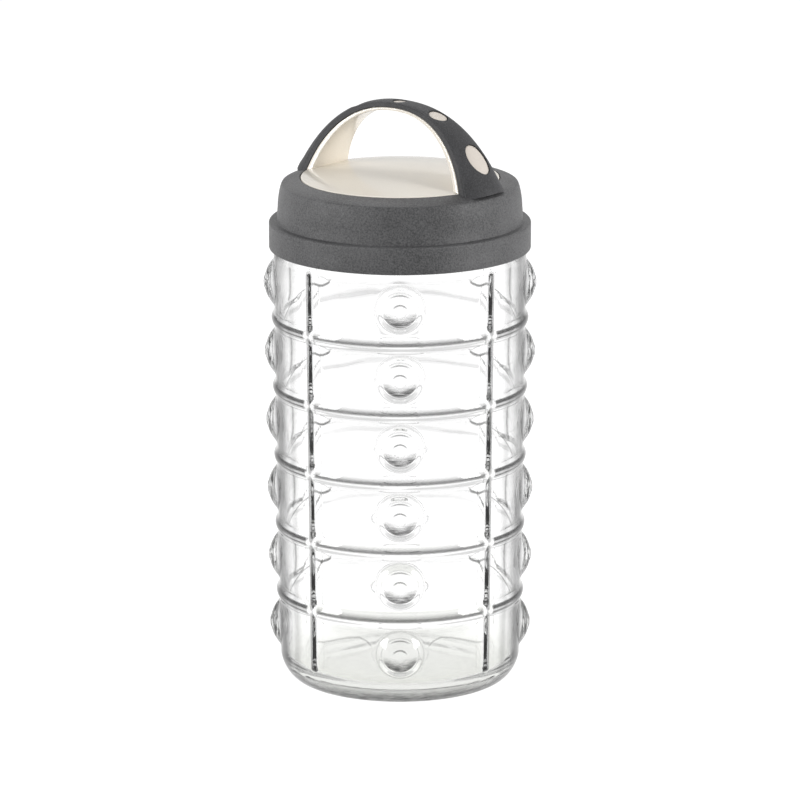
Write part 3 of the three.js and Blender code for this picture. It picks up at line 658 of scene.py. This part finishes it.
plug_radius = mouth_radius - PLUG_PLAY
seal_inner = plug_radius + SEAT_GAP
seal_outer = skirt_inner_radius - SEAL_PLAY
seal_foot_z = lip_z + SEAT_GAP
seal_top_z = seal_foot_z + SEAL_THICKNESS
round_angles = np.linspace(0, 2 * math.pi, 240, endpoint=False)


def rounded_loop(low, high, radius, steps):
    """Closed rectangle from corner low to corner high, its four corners rounded by radius."""
    (x0, z0), (x1, z1) = np.array(low) + radius, np.array(high) - radius
    centres = [(x1, z0), (x1, z1), (x0, z1), (x0, z0)]
    return np.concatenate([arc(centre, radius, 90 * k - 90, 90 * k, steps)
                           for k, centre in enumerate(centres)])


seal_loop = rounded_loop((seal_inner, seal_foot_z), (seal_outer, seal_top_z), SEAL_ROUND, 3)
seal = grid_object("seal_silicone", around(seal_loop[:, :1], round_angles, seal_loop[:, 1:]), True)

silicone, tree = new_material("milky_silicone")
body = tree.node("ShaderNodeBsdfPrincipled", {
    "Base Color": linear("E4E4E0"), "Subsurface Weight": 0.2,
    "Roughness": tree.remap(tree.noise(MILK_SCALE, 2), *STREAK_RANGE, 0.42, 0.56)})
tree.node("ShaderNodeOutputMaterial", {"Surface": body.outputs["BSDF"]})
seal.data.materials.append(silicone)
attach(seal, "seal")
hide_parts("seal_ring")

# Lid insert, disc: the ivory moulding of glossy plastic that closes the jar. A low dome shows
# inside the grey ring; under it are the flange, the skirt with its six lugs and the plug ring.
TOP_RING_WIDTH = 9.95
DISC_LIFT = 0.3
DISC_RISE = 3
DISC_THICKNESS = 2.2
DISC_ROUND = 0.8
FLANGE_THICKNESS = 2
SHELL_TOP_THICKNESS = 2.3
SHELL_SLOPE = 3.4
INSERT_CHAMFER = 1.7
PLUG_WALL = 1.8
PLUG_HEIGHT = 6
RUN_GAP = 0.3
LUG_HEIGHT = 2.2
LUG_SWEEP = math.radians(12)
HANDLE_YAW = math.radians(-38)
LUG_CLEAR = 0.2
NOTCH_HALF_SPAN = 42
LEAST_ACROSS = 0.1
DOME_EDGE_TURN = 84
SPECKLE = 1.5
SPECKLE_SPREAD = 0.4
TONE_SCALE = 28
SCUFF_SCALES = (60, 60, 420)
SCUFF_ONSET = (0.66, 0.74)

disc_radius = crown_top_radius - TOP_RING_WIDTH
flange_under_z = seal_top_z + SEAT_GAP
flange_top_z = flange_under_z + FLANGE_THICKNESS
shell_under_z = flange_top_z + SEAT_GAP
crown_top_z = shell_under_z + SHELL_TOP_THICKNESS
disc_edge_z = crown_top_z + DISC_LIFT
skirt_foot_z = bead_under_z - RUN_GAP - LUG_HEIGHT
fine_angles = np.linspace(0, 2 * math.pi, 360, endpoint=False)


def dome_z(radius):
    """Height of the disc's dome: a parabola from the edge up to the middle."""
    return disc_edge_z + DISC_RISE * (1 - (radius / (disc_radius - DISC_ROUND)) ** 2)


def lug_height(angle, z):
    """How far a lug stands in from the skirt, with bevels at its edges and ends."""
    pitch = 2 * math.pi / LUG_COUNT
    off_lug = off_nearest(angle, pitch / 2, pitch, LUG_COUNT)
    inside = (LUG_SWEEP / 2 - np.abs(off_lug)) * skirt_inner_radius
    inside = np.minimum(inside, skirt_foot_z + LUG_HEIGHT - z)
    return (skirt_inner_radius - neck_radius - RUN_GAP) * smooth_step(inside / BEVEL)


dome_radii = np.linspace(0, 1, 28) * (disc_radius - DISC_ROUND)
dome = profile(dome_radii, dome_z(dome_radii))
dome_edge = arc((disc_radius - DISC_ROUND, disc_edge_z - DISC_ROUND), DISC_ROUND,
                DOME_EDGE_TURN, 0, 6)
disc_side = np.array([[disc_radius, flange_top_z + SEAT_GAP], [disc_radius, flange_top_z]])
crown_inner_radius = skirt_radius + SEAT_GAP
skirt_out = np.array([
    [crown_inner_radius - SHELL_SLOPE - SEAT_GAP, flange_top_z],
    [skirt_radius, shell_under_z - SHELL_SLOPE - SEAT_GAP],
    [skirt_radius, skirt_foot_z],
])
lug_top_z = skirt_foot_z + LUG_HEIGHT
lug_heights = spaced([skirt_foot_z, lug_top_z - BEVEL, lug_top_z + LUG_CLEAR,
                      flange_under_z - INSERT_CHAMFER], [2, 5, 1])
skirt_in = np.append(profile(skirt_inner_radius, lug_heights),
                     [[skirt_inner_radius - INSERT_CHAMFER, flange_under_z]], 0)
plug_foot_z = flange_under_z - PLUG_HEIGHT
plug = np.concatenate([
    [[plug_radius, flange_under_z]],
    arc((plug_radius - BEVEL, plug_foot_z + BEVEL), BEVEL, 0, -90, 4),
    arc((plug_radius - PLUG_WALL + BEVEL, plug_foot_z + BEVEL), BEVEL, -90, -180, 4),
])
under_radii = np.linspace(plug_radius - PLUG_WALL, 0, 16)
under = profile(under_radii, dome_z(under_radii) - DISC_THICKNESS)

across = np.abs(np.cos(fine_angles - HANDLE_YAW))
notched = np.minimum(disc_radius, NOTCH_HALF_SPAN / np.maximum(across, LEAST_ACROSS))
top_rows = np.concatenate([dome, dome_edge, disc_side])
shrink = notched / disc_radius
top_points = around(top_rows[:, :1] * shrink, fine_angles, top_rows[:, 1:])
lower_rows = np.concatenate([skirt_out, skirt_in, plug, under])
is_skirt = np.zeros(len(lower_rows), bool)
is_skirt[len(skirt_out):len(skirt_out) + len(skirt_in)] = True
lugs = lug_height(fine_angles, lower_rows[:, 1:]) * is_skirt[:, None]
lower_points = around(lower_rows[:, :1] - lugs, fine_angles, lower_rows[:, 1:])
disc = grid_object("insert_disc", np.concatenate([top_points, lower_points]))


def mottle_group():
    """Node group for moulded plastic: Height is a fine grain of the given size in metres, Tone
    a slow change of shade over the piece, and Scuff a sparse mask of short handling marks."""
    group = bpy.data.node_groups.new("moulded_grain", "ShaderNodeTree")
    interface = group.interface
    interface.new_socket("Grain Size", in_out="INPUT", socket_type="NodeSocketFloat")
    for name in ("Height", "Tone", "Scuff"):
        interface.new_socket(name, in_out="OUTPUT", socket_type="NodeSocketFloat")
    tree = Shader(group)
    size = tree.node("NodeGroupInput").outputs["Grain Size"]
    tree.node("NodeGroupOutput", {
        "Height": tree.noise(tree.combined("DIVIDE", 1, size), 2, 0.6),
        "Tone": tree.noise(TONE_SCALE, 3),
        "Scuff": tree.remap(tree.noise(SCUFF_SCALES, 4), *SCUFF_ONSET, 0, 1)})
    return group


moulded_grain = mottle_group()


def plastic(name, dark, light, grain_size, grain_depth, rough, scuffed, sheen=0.5):
    """Moulded plastic: its colour runs between dark and light with the grain and the tone, its
    roughness from rough to scuffed where it has been handled, its grain stands grain_depth
    high, and its specular level is sheen."""
    made, tree = new_material(name)
    group = tree.node("ShaderNodeGroup", node_tree=moulded_grain)
    group.inputs["Grain Size"].default_value = grain_size
    grain = group.outputs
    speck = tree.combined("MULTIPLY_ADD", grain["Height"], SPECKLE, grain["Tone"])
    middle = (1 + SPECKLE) / 2
    spread = SPECKLE_SPREAD * middle
    shade = tree.node("ShaderNodeMix", {
        "Factor": tree.remap(speck, middle - spread, middle + spread, 0, 1),
        "A": linear(dark), "B": linear(light)}, data_type="RGBA")
    relief = tree.node("ShaderNodeBump", {
        "Distance": grain_depth, "Strength": 1, "Height": grain["Height"]})
    body = tree.node("ShaderNodeBsdfPrincipled", {
        "Base Color": shade.outputs["Result"], "Normal": relief.outputs["Normal"],
        "Roughness": tree.remap(grain["Scuff"], 0, 1, rough, scuffed),
        "Specular IOR Level": sheen})
    tree.node("ShaderNodeOutputMaterial", {"Surface": body.outputs["BSDF"]})
    return made


ivory = plastic("ivory_gloss", "EBE4D8", "F1EBE0", 0.5 * MM, 0.004 * MM, 0.13, 0.22)
disc.data.materials.append(ivory)
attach(disc, "lid")
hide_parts("lid_insert")

# Lid insert, handle liner: the ivory inner half of the arched handle, moulded in one with the
# disc. It is a flat strap, widest at its feet, with slightly rounded edges.
ARCH_SINK = 25.7
ARCH_INSET = 3.85
ARCH_RISE = 59.1
ARCH_POWER = 2.23
STRAP_TOP_WIDTH = 9.5
STRAP_FOOT_WIDTH = 27
STRAP_FOOT_SINK = 2.2
STRAP_POWER = 0.88
STRAP_SIDE_THICKNESS = 3.6
STRAP_TOP_THICKNESS = 2.1
LINER_SIDE_THICKNESS = 3.2
LINER_TOP_THICKNESS = 1.5
LINER_ROUND = 0.4
LINER_STEPS = 150

arch_base_z = crown_top_z - ARCH_SINK
arch_half_span = crown_top_radius - ARCH_INSET
strap_foot_z = crown_top_z - STRAP_FOOT_SINK


def signed_power(value, power):
    """Power of a value's size, with its sign kept."""
    return np.sign(value) * np.abs(value) ** power


def arch_point(turn, side_inset, top_inset):
    """Distance from the jar's axis and height on one of the handle's nested curves, each a
    superellipse whose half span and rise are less by its insets."""
    out = (arch_half_span - side_inset) * signed_power(np.cos(turn), 2 / ARCH_POWER)
    up = arch_base_z + (ARCH_RISE - top_inset) * signed_power(np.sin(turn), 2 / ARCH_POWER)
    return np.stack([out, up], -1)


def arch_normal(turn):
    """Outward direction of the outer curve, square to its step from just before to just after."""
    step = 0.002
    along = arch_point(turn + step, 0, 0) - arch_point(turn - step, 0, 0)
    along /= np.linalg.norm(along, axis=-1, keepdims=True)
    return np.stack([along[..., 1], -along[..., 0]], -1)


def strap_half_width(turn):
    """Half the width of both straps, growing from the top to the feet as a power of the drop."""
    top = arch_base_z + ARCH_RISE
    share = np.clip((top - arch_point(turn, 0, 0)[..., 1]) / (top - strap_foot_z), 0, 1)
    return (STRAP_TOP_WIDTH + (STRAP_FOOT_WIDTH - STRAP_TOP_WIDTH) * share ** STRAP_POWER) / 2


def yawed(points):
    """Points of the handle, each given as its place in the handle's own plane, its distance
    from that plane and its height, turned about the jar's axis into place."""
    c, s = math.cos(HANDLE_YAW), math.sin(HANDLE_YAW)
    out, sideways, up = np.moveaxis(points, -1, 0)
    return np.stack([out * c - sideways * s, out * s + sideways * c, up], -1)


def foot_turn(z, side_inset, top_inset):
    """Angle along a nested curve at which it is at height z."""
    share = (z - arch_base_z) / (ARCH_RISE - top_inset)
    return math.asin(share ** (ARCH_POWER / 2))


def closed_ends(points):
    """Grid with its first and last rows repeated as the middle point of each, which closes it."""
    ends = [np.broadcast_to(row.mean(0), row.shape)[None] for row in (points[0], points[-1])]
    return np.concatenate([ends[0], points, ends[1]])


liner_outer = (STRAP_SIDE_THICKNESS + SEAT_GAP, STRAP_TOP_THICKNESS + SEAT_GAP)
liner_inner = (STRAP_SIDE_THICKNESS + LINER_SIDE_THICKNESS,
               STRAP_TOP_THICKNESS + LINER_TOP_THICKNESS)
start = foot_turn(flange_top_z, *liner_outer)
liner_turns = np.linspace(start, math.pi - start, LINER_STEPS + 1)[:, None]
outer_curve = arch_point(liner_turns, *liner_outer)
inner_curve = arch_point(liner_turns, *liner_inner)
thickness = np.linalg.norm(outer_curve - inner_curve, axis=-1)
half = strap_half_width(liner_turns)
corner_turn = np.radians(np.linspace(0, 90, 4))
corner_in = LINER_ROUND * (1 - np.sin(corner_turn))
corner_side = LINER_ROUND * (1 - np.cos(corner_turn))
near = np.broadcast_to(corner_in, (LINER_STEPS + 1, len(corner_in)))
far = thickness - corner_in
edge = half - corner_side
depths = np.concatenate([near[:, ::-1], far, far[:, ::-1], near], 1)
sides = np.concatenate([edge[:, ::-1], edge, -edge[:, ::-1], -edge], 1)
share = (depths / thickness)[..., None]
liner_curve = outer_curve * (1 - share) + inner_curve * share
liner_points = np.stack([liner_curve[..., 0], sides, liner_curve[..., 1]], -1)
liner = grid_object("insert_liner", closed_ends(yawed(liner_points)))
liner.data.materials.append(ivory)
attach(liner, "lid")
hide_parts("lid_insert")

# Lid shell, cap: the grey moulding with a spark-eroded finish. Two stepped bands, a rounded
# shoulder and a flat ring round the ivory disc; it grips the insert with a snap bead.
BAND_TOP_THICKNESS = 1.5
BAND_WALL = 2
BAND_EDGE = (1.3, 1)
BAND_HOLD = 4
FOOT_ROUND = 0.5
BAND_FOOT_RISE = 3.5
SNAP_REACH = 0.6
SNAP_HEIGHT = 1
CROWN_EDGE = 2
CROWN_FALL = 9.8
CROWN_POWER = 1.52
RING_FALL = 2.4

band_bottom_z = shoulder_z + BAND_FOOT_RISE
snap_top_z = skirt_foot_z - SEAT_GAP
band_under_z = snap_top_z - SNAP_HEIGHT
band_top_z = band_under_z + BAND_TOP_THICKNESS
crown_base_radius = band_radius - BAND_STEP
ring_edge_z = crown_top_z - RING_FALL
edge_turn = np.radians(np.linspace(0, 90, 19))
crown_edge = oval_edge((crown_top_radius, ring_edge_z), CROWN_EDGE, -CROWN_FALL, CROWN_POWER,
                       edge_turn)
ring_inner = disc_radius + SEAT_GAP
cap_loop = np.concatenate([
    arc((band_radius - FOOT_ROUND, band_bottom_z + FOOT_ROUND), FOOT_ROUND, -90, 0, 3),
    [[band_radius, band_bottom_z + BAND_HOLD], [band_radius, band_top_z - BAND_HOLD]],
    arc((band_radius - BAND_EDGE[0], band_top_z - BAND_EDGE[1]), BAND_EDGE, 0, 90, 6),
    arc((crown_base_radius + SEAT_GAP, band_top_z + SEAT_GAP), SEAT_GAP, -90, -180, 3),
    crown_edge,
    arc((ring_inner + SEAT_GAP, crown_top_z - SEAT_GAP), SEAT_GAP, 90, 180, 3),
    [[ring_inner, shell_under_z],
     [crown_inner_radius - SHELL_SLOPE, shell_under_z],
     [crown_inner_radius, shell_under_z - SHELL_SLOPE],
     [crown_base_radius - SHELL_WALL, snap_top_z],
     [skirt_radius - SNAP_REACH, snap_top_z],
     [skirt_radius - SNAP_REACH, band_under_z],
     [band_radius - BAND_WALL, band_under_z],
     [band_radius - BAND_WALL, band_bottom_z]],
])
cap = grid_object("shell_cap", around(cap_loop[:, :1], fine_angles, cap_loop[:, 1:]), True)
cap.data.materials.append(
    plastic("grey_spark_finish", "323233", "666667", 0.7 * MM, 0.15 * MM, 0.5, 0.42, 0.35))
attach(cap, "lid")
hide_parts("lid_shell")

# Lid shell, handle strap: the grey outer half of the handle, in one with the cap. Its outer
# face is crowned, its feet spread on to the ring, and five round holes let the ivory show.
STRAP_BULGE = 6.6
STRAP_BULGE_POWER = 2.9
STRAP_DROP_SHARE = 0.17
STRAP_DROP_POWER = 6
STRAP_ROUND = 0.8
STRAP_STEPS = 260
FOOT_FLARE = 0.3
FOOT_FLARE_RISE = 3
DOTS = [(90, 6, 6), (67.5, 8.3, 8.3), (112.5, 8.3, 8.3), (37.2, 14, 10.6), (142.8, 14, 10.6)]
DOT_GAP = 0.25
HOLE_ROUND = 0.2
HOLE_DEPTH = 1.6
HOLE_MARGIN = 1.4
TABLE_START = 0.05
TABLE_STEPS = 4000
FACE_COLUMNS = 25
FACE_RINGS = 6
RIM_CROWDING = 1.3

turn_table = np.linspace(TABLE_START, math.pi - TABLE_START, TABLE_STEPS + 1)
table_steps = np.linalg.norm(np.diff(arch_point(turn_table, 0, 0), axis=0), axis=1)
length_table = np.append(0, np.cumsum(table_steps))


def turn_at(length):
    """Angle along the outer curve at a length along it."""
    return np.interp(length, length_table, turn_table)


def length_at(turn):
    """Length along the outer curve at an angle."""
    return np.interp(turn, turn_table, length_table)


def strap_face(length, sideways):
    """Point of the crowned outer face. It stands out by the bulge times what the squared share
    of the half width lacks of 1, less the edge's drop times a higher power of that share, plus
    the flare times the squared share of the way down to the ring."""
    turn = turn_at(length)
    half = strap_half_width(turn)
    curve = arch_point(turn, 0, 0)
    low = np.clip(1 - (curve[..., 1] - crown_top_z) / FOOT_FLARE_RISE, 0, 1)
    q = np.clip(sideways / half, -1, 1)
    bulge = STRAP_BULGE * (2 * half / STRAP_FOOT_WIDTH) ** STRAP_BULGE_POWER
    drop = STRAP_DROP_SHARE * half * q ** STRAP_DROP_POWER
    out = bulge * (1 - q ** 2) - drop + FOOT_FLARE * low ** 2
    place = curve + arch_normal(turn) * out[..., None]
    return np.stack([place[..., 0], np.broadcast_to(sideways, out.shape), place[..., 1]], -1)


start = foot_turn(shell_under_z, 0, 0)
lengths = np.linspace(length_at(start), length_at(math.pi - start), STRAP_STEPS + 1)
half = strap_half_width(turn_at(lengths))[:, None]
face_share = np.sin(np.linspace(math.pi / 2, -math.pi / 2, FACE_COLUMNS))
face = strap_face(lengths[:, None], (half - STRAP_ROUND) * face_share)
edge_turns = np.radians(np.linspace(15, 90, 6))[:, None]
sideward = np.array([0, 1, 0])
normal = np.insert(arch_normal(turn_at(lengths)), 1, 0, -1)[:, None]
to_side = STRAP_ROUND * np.sin(edge_turns) * sideward
inwards = STRAP_ROUND * (1 - np.cos(edge_turns)) * normal
near_round = face[:, :1] + to_side - inwards
far_round = face[:, -1:] - to_side - inwards
inner_edge = arch_point(turn_at(lengths), STRAP_SIDE_THICKNESS, STRAP_TOP_THICKNESS)
inner = np.insert(inner_edge, 1, 0, -1)[:, None]
inner_face = inner + (half * np.array([-1, -0.5, 0, 0.5, 1]))[..., None] * sideward
strap_grid = closed_ends(
    np.concatenate([face, far_round, inner_face, near_round[:, ::-1]], 1))
lengths = np.concatenate([lengths[:1], lengths, lengths[-1:]])


def dot_rings(middle, squash, radii, depths, directions):
    """Rings of points round a dot: each at its own radius along the strap, squash times that
    across it, and its own depth below the crowned face, one point for each direction."""
    down = -np.insert(arch_normal(np.array(turn_at(middle))), 1, 0)
    radii, directions = np.broadcast_arrays(radii, directions)
    on_face = strap_face(middle + radii * np.cos(directions), squash * radii * np.sin(directions))
    return on_face + np.asarray(depths)[..., None] * down


rows, columns = strap_grid.shape[:2]
strap_quads = grid_quads(rows, columns)
kept = np.ones((rows - 1, columns), bool)
point_sets = [yawed(strap_grid).reshape(-1, 3)]
quad_sets = []
point_count = rows * columns
for degrees, diameter, across in DOTS:
    middle = float(length_at(math.radians(degrees)))
    squash = across / diameter
    hole = diameter / 2 + DOT_GAP
    close = np.abs(lengths - middle) < hole + HOLE_MARGIN
    first, last = np.flatnonzero(close)[[0, -1]]
    kept[first:last, :FACE_COLUMNS - 1] = False
    ids = np.arange(rows * columns).reshape(rows, columns)[first:last + 1, :FACE_COLUMNS]
    rim_ids = np.concatenate([ids[0, :-1], ids[:-1, -1], ids[-1, :0:-1], ids[:0:-1, 0]])
    rim = strap_grid.reshape(-1, 3)[rim_ids]
    rim_lengths = lengths[rim_ids // columns]
    rim_offset = np.stack([rim_lengths - middle, rim[:, 1] / squash], -1)
    directions = np.arctan2(rim_offset[:, 1], rim_offset[:, 0])
    rim_radii = np.linalg.norm(rim_offset, axis=1)
    spread = np.linspace(1, 0, FACE_RINGS + 1)[1:, None] ** RIM_CROWDING
    face_radii = hole + HOLE_ROUND + (rim_radii - hole - HOLE_ROUND) * spread
    round_turn = np.radians([30, 60, 90])[:, None]
    round_radii = hole + HOLE_ROUND * (1 - np.sin(round_turn))
    radii = np.concatenate([face_radii, np.broadcast_to(round_radii, (3, len(rim_ids))),
                            np.full((2, len(rim_ids)), hole), np.zeros((1, len(rim_ids)))])
    depth = np.concatenate([np.zeros(FACE_RINGS), HOLE_ROUND * (1 - np.cos(round_turn[:, 0])),
                            [HOLE_DEPTH / 2, HOLE_DEPTH, HOLE_DEPTH]])[:, None]
    rings = dot_rings(middle, squash, radii, depth, directions)
    point_sets.append(yawed(rings).reshape(-1, 3))
    ring_ids = np.concatenate([rim_ids[None],
                               point_count + np.arange(radii.size).reshape(radii.shape)])
    point_count += radii.size
    next_ids = np.roll(ring_ids, -1, axis=1)
    corners = [ring_ids[:-1], next_ids[:-1], next_ids[1:], ring_ids[1:]]
    quad_sets.append(np.stack(corners, -1).reshape(-1, 4))
quads = np.concatenate([strap_quads.reshape(rows - 1, columns, 4)[kept], *quad_sets])
strap = mesh_object("shell_strap", np.concatenate(point_sets), quads)
# Painted shade: the strap is one moulding with the cap but gets a darker grey with less sheen.
strap.data.materials.append(
    plastic("grey_strap_painted_shade", "39393A", "515153", 0.6 * MM, 0.1 * MM, 0.55, 0.48, 0.2))
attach(strap, "lid")
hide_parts("lid_shell")

# Lid insert, studs: the ivory dots on the handle. Each is the end of a stud of the insert that
# fills a hole of the grey strap and stops a little below its face.
DOT_RECESS = 0.6
DOT_ROUND = 0.25
STUD_FOOT_GAP = 0.4
STUD_COLUMNS = 72

# Matt finish is the studs' own; their darker ivory is painted shade of their recess.
ivory_matt_painted_shade = plastic("ivory_matt_painted_shade", "D9D0C6", "E0D8CE", 0.5 * MM, 0.01 * MM, 0.45, 0.5)
stud_directions = np.linspace(0, 2 * math.pi, STUD_COLUMNS, endpoint=False)
stud_turn = np.radians([0, 30, 60, 90])
for number, (degrees, diameter, across) in enumerate(DOTS, 1):
    middle = float(length_at(math.radians(degrees)))
    top_radii = np.linspace(0, diameter / 2 - DOT_ROUND, 8)[:-1]
    radii = np.concatenate([top_radii, diameter / 2 - DOT_ROUND * (1 - np.sin(stud_turn)),
                            [diameter / 2, 0]])[:, None]
    depth = np.concatenate([np.zeros(len(top_radii)), DOT_ROUND * (1 - np.cos(stud_turn)),
                            [HOLE_DEPTH - STUD_FOOT_GAP] * 2])[:, None]
    rings = dot_rings(middle, across / diameter, radii, DOT_RECESS + depth, stud_directions)
    stud = grid_object(f"insert_stud_{number}", yawed(rings))
    stud.data.materials.append(ivory_matt_painted_shade)
    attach(stud, "lid")
    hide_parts("lid_insert")

# Studio: a pale floor, a white surround that the glass and the gloss see too, and soft boxes:
# two to the sides, which leave the middle of the lid darker, and a weak one above and behind.
FLOOR_HALF_SIDE = 6
FLOOR_DROP = 0.0002
FLOOR_LEVEL = 0.4
FLOOR_GLOW = 0.82
SOFT_BOXES = [("left_box", (-1.6, -0.66, 0.66), 22), ("right_box", (1.6, -0.66, 0.66), 23),
              ("top_box", (0, 0.9, 1.3), 4)]
BOX_SIZE = (0.6, 1.0)
BOX_AIM = Vector((0, 0, 0.15))
SURROUND = 0.47
GAP_LEVEL = 0.9
GAP_FOOT = (0, 0.06)
GAP_TOP = (0.34, 0.44)
SKY_LIFT = 0.3


def looking(tree, path):
    """1 on the rays that look, directly, in a gloss or through glass, and 0 on those that
    only gather light. Path holds the outputs of the tree's Light Path node."""
    seen = tree.combined("MAXIMUM", path["Is Camera Ray"], path["Is Glossy Ray"])
    return tree.combined("MAXIMUM", seen, path["Is Transmission Ray"])


floor_mesh = bpy.data.meshes.new("floor")
s = FLOOR_HALF_SIDE
floor_mesh.from_pydata([(-s, -s, 0), (s, -s, 0), (s, s, 0), (-s, s, 0)], [], [(0, 1, 2, 3)])
floor = bpy.data.objects.new("floor", floor_mesh)
floor.location.z = -FLOOR_DROP
bpy.context.scene.collection.objects.link(floor)
paper, tree = new_material("white_paper")
seen_white = looking(tree, tree.node("ShaderNodeLightPath").outputs)
body = tree.node("ShaderNodeBsdfPrincipled", {
    "Base Color": (FLOOR_LEVEL, FLOOR_LEVEL, FLOOR_LEVEL, 1), "Roughness": 1,
    "Specular IOR Level": 0, "Emission Color": (1, 1, 1, 1),
    "Emission Strength": tree.product(seen_white, FLOOR_GLOW)})
tree.node("ShaderNodeOutputMaterial", {"Surface": body.outputs["BSDF"]})
floor_mesh.materials.append(paper)

for name, place, power in SOFT_BOXES:
    lamp = bpy.data.lights.new(name, "AREA")
    lamp.shape = "RECTANGLE"
    lamp.size, lamp.size_y = BOX_SIZE
    lamp.energy = power
    box = aimed(name, lamp, place, BOX_AIM)
    box.visible_transmission = False

world = bpy.data.worlds.new("white_studio")
bpy.context.scene.world = world
world.use_nodes = True
world.node_tree.nodes.clear()
tree = Shader(world.node_tree)
direction = tree.node("ShaderNodeTexCoord").outputs["Generated"]
height = tree.node("ShaderNodeSeparateXYZ", {0: direction}).outputs["Z"]
gap = tree.combined("MAXIMUM", tree.remap(height, *GAP_FOOT, 1, GAP_LEVEL),
                    tree.remap(height, *GAP_TOP, GAP_LEVEL, 1))
path = tree.node("ShaderNodeLightPath").outputs
through = tree.node("ShaderNodeMix", {"Factor": path["Is Transmission Ray"], "A": 1, "B": gap})
level = tree.node("ShaderNodeMix", {
    "Factor": looking(tree, path), "A": SURROUND, "B": through.outputs["Result"]})
strength = tree.combined("MULTIPLY_ADD", path["Is Camera Ray"], SKY_LIFT, level.outputs["Result"])
background = tree.node("ShaderNodeBackground", {"Strength": strength})
tree.node("ShaderNodeOutputWorld", {"Surface": background.outputs["Background"]})

scene = bpy.context.scene
scene.view_settings.view_transform = "Standard"
scene.cycles.max_bounces = 24
scene.cycles.diffuse_bounces = 3
scene.cycles.glossy_bounces = 12
scene.cycles.transmission_bounces = 14
scene.cycles.transparent_max_bounces = 16
scene.cycles.caustics_reflective = False
scene.cycles.caustics_refractive = False
scene.cycles.use_denoising = True
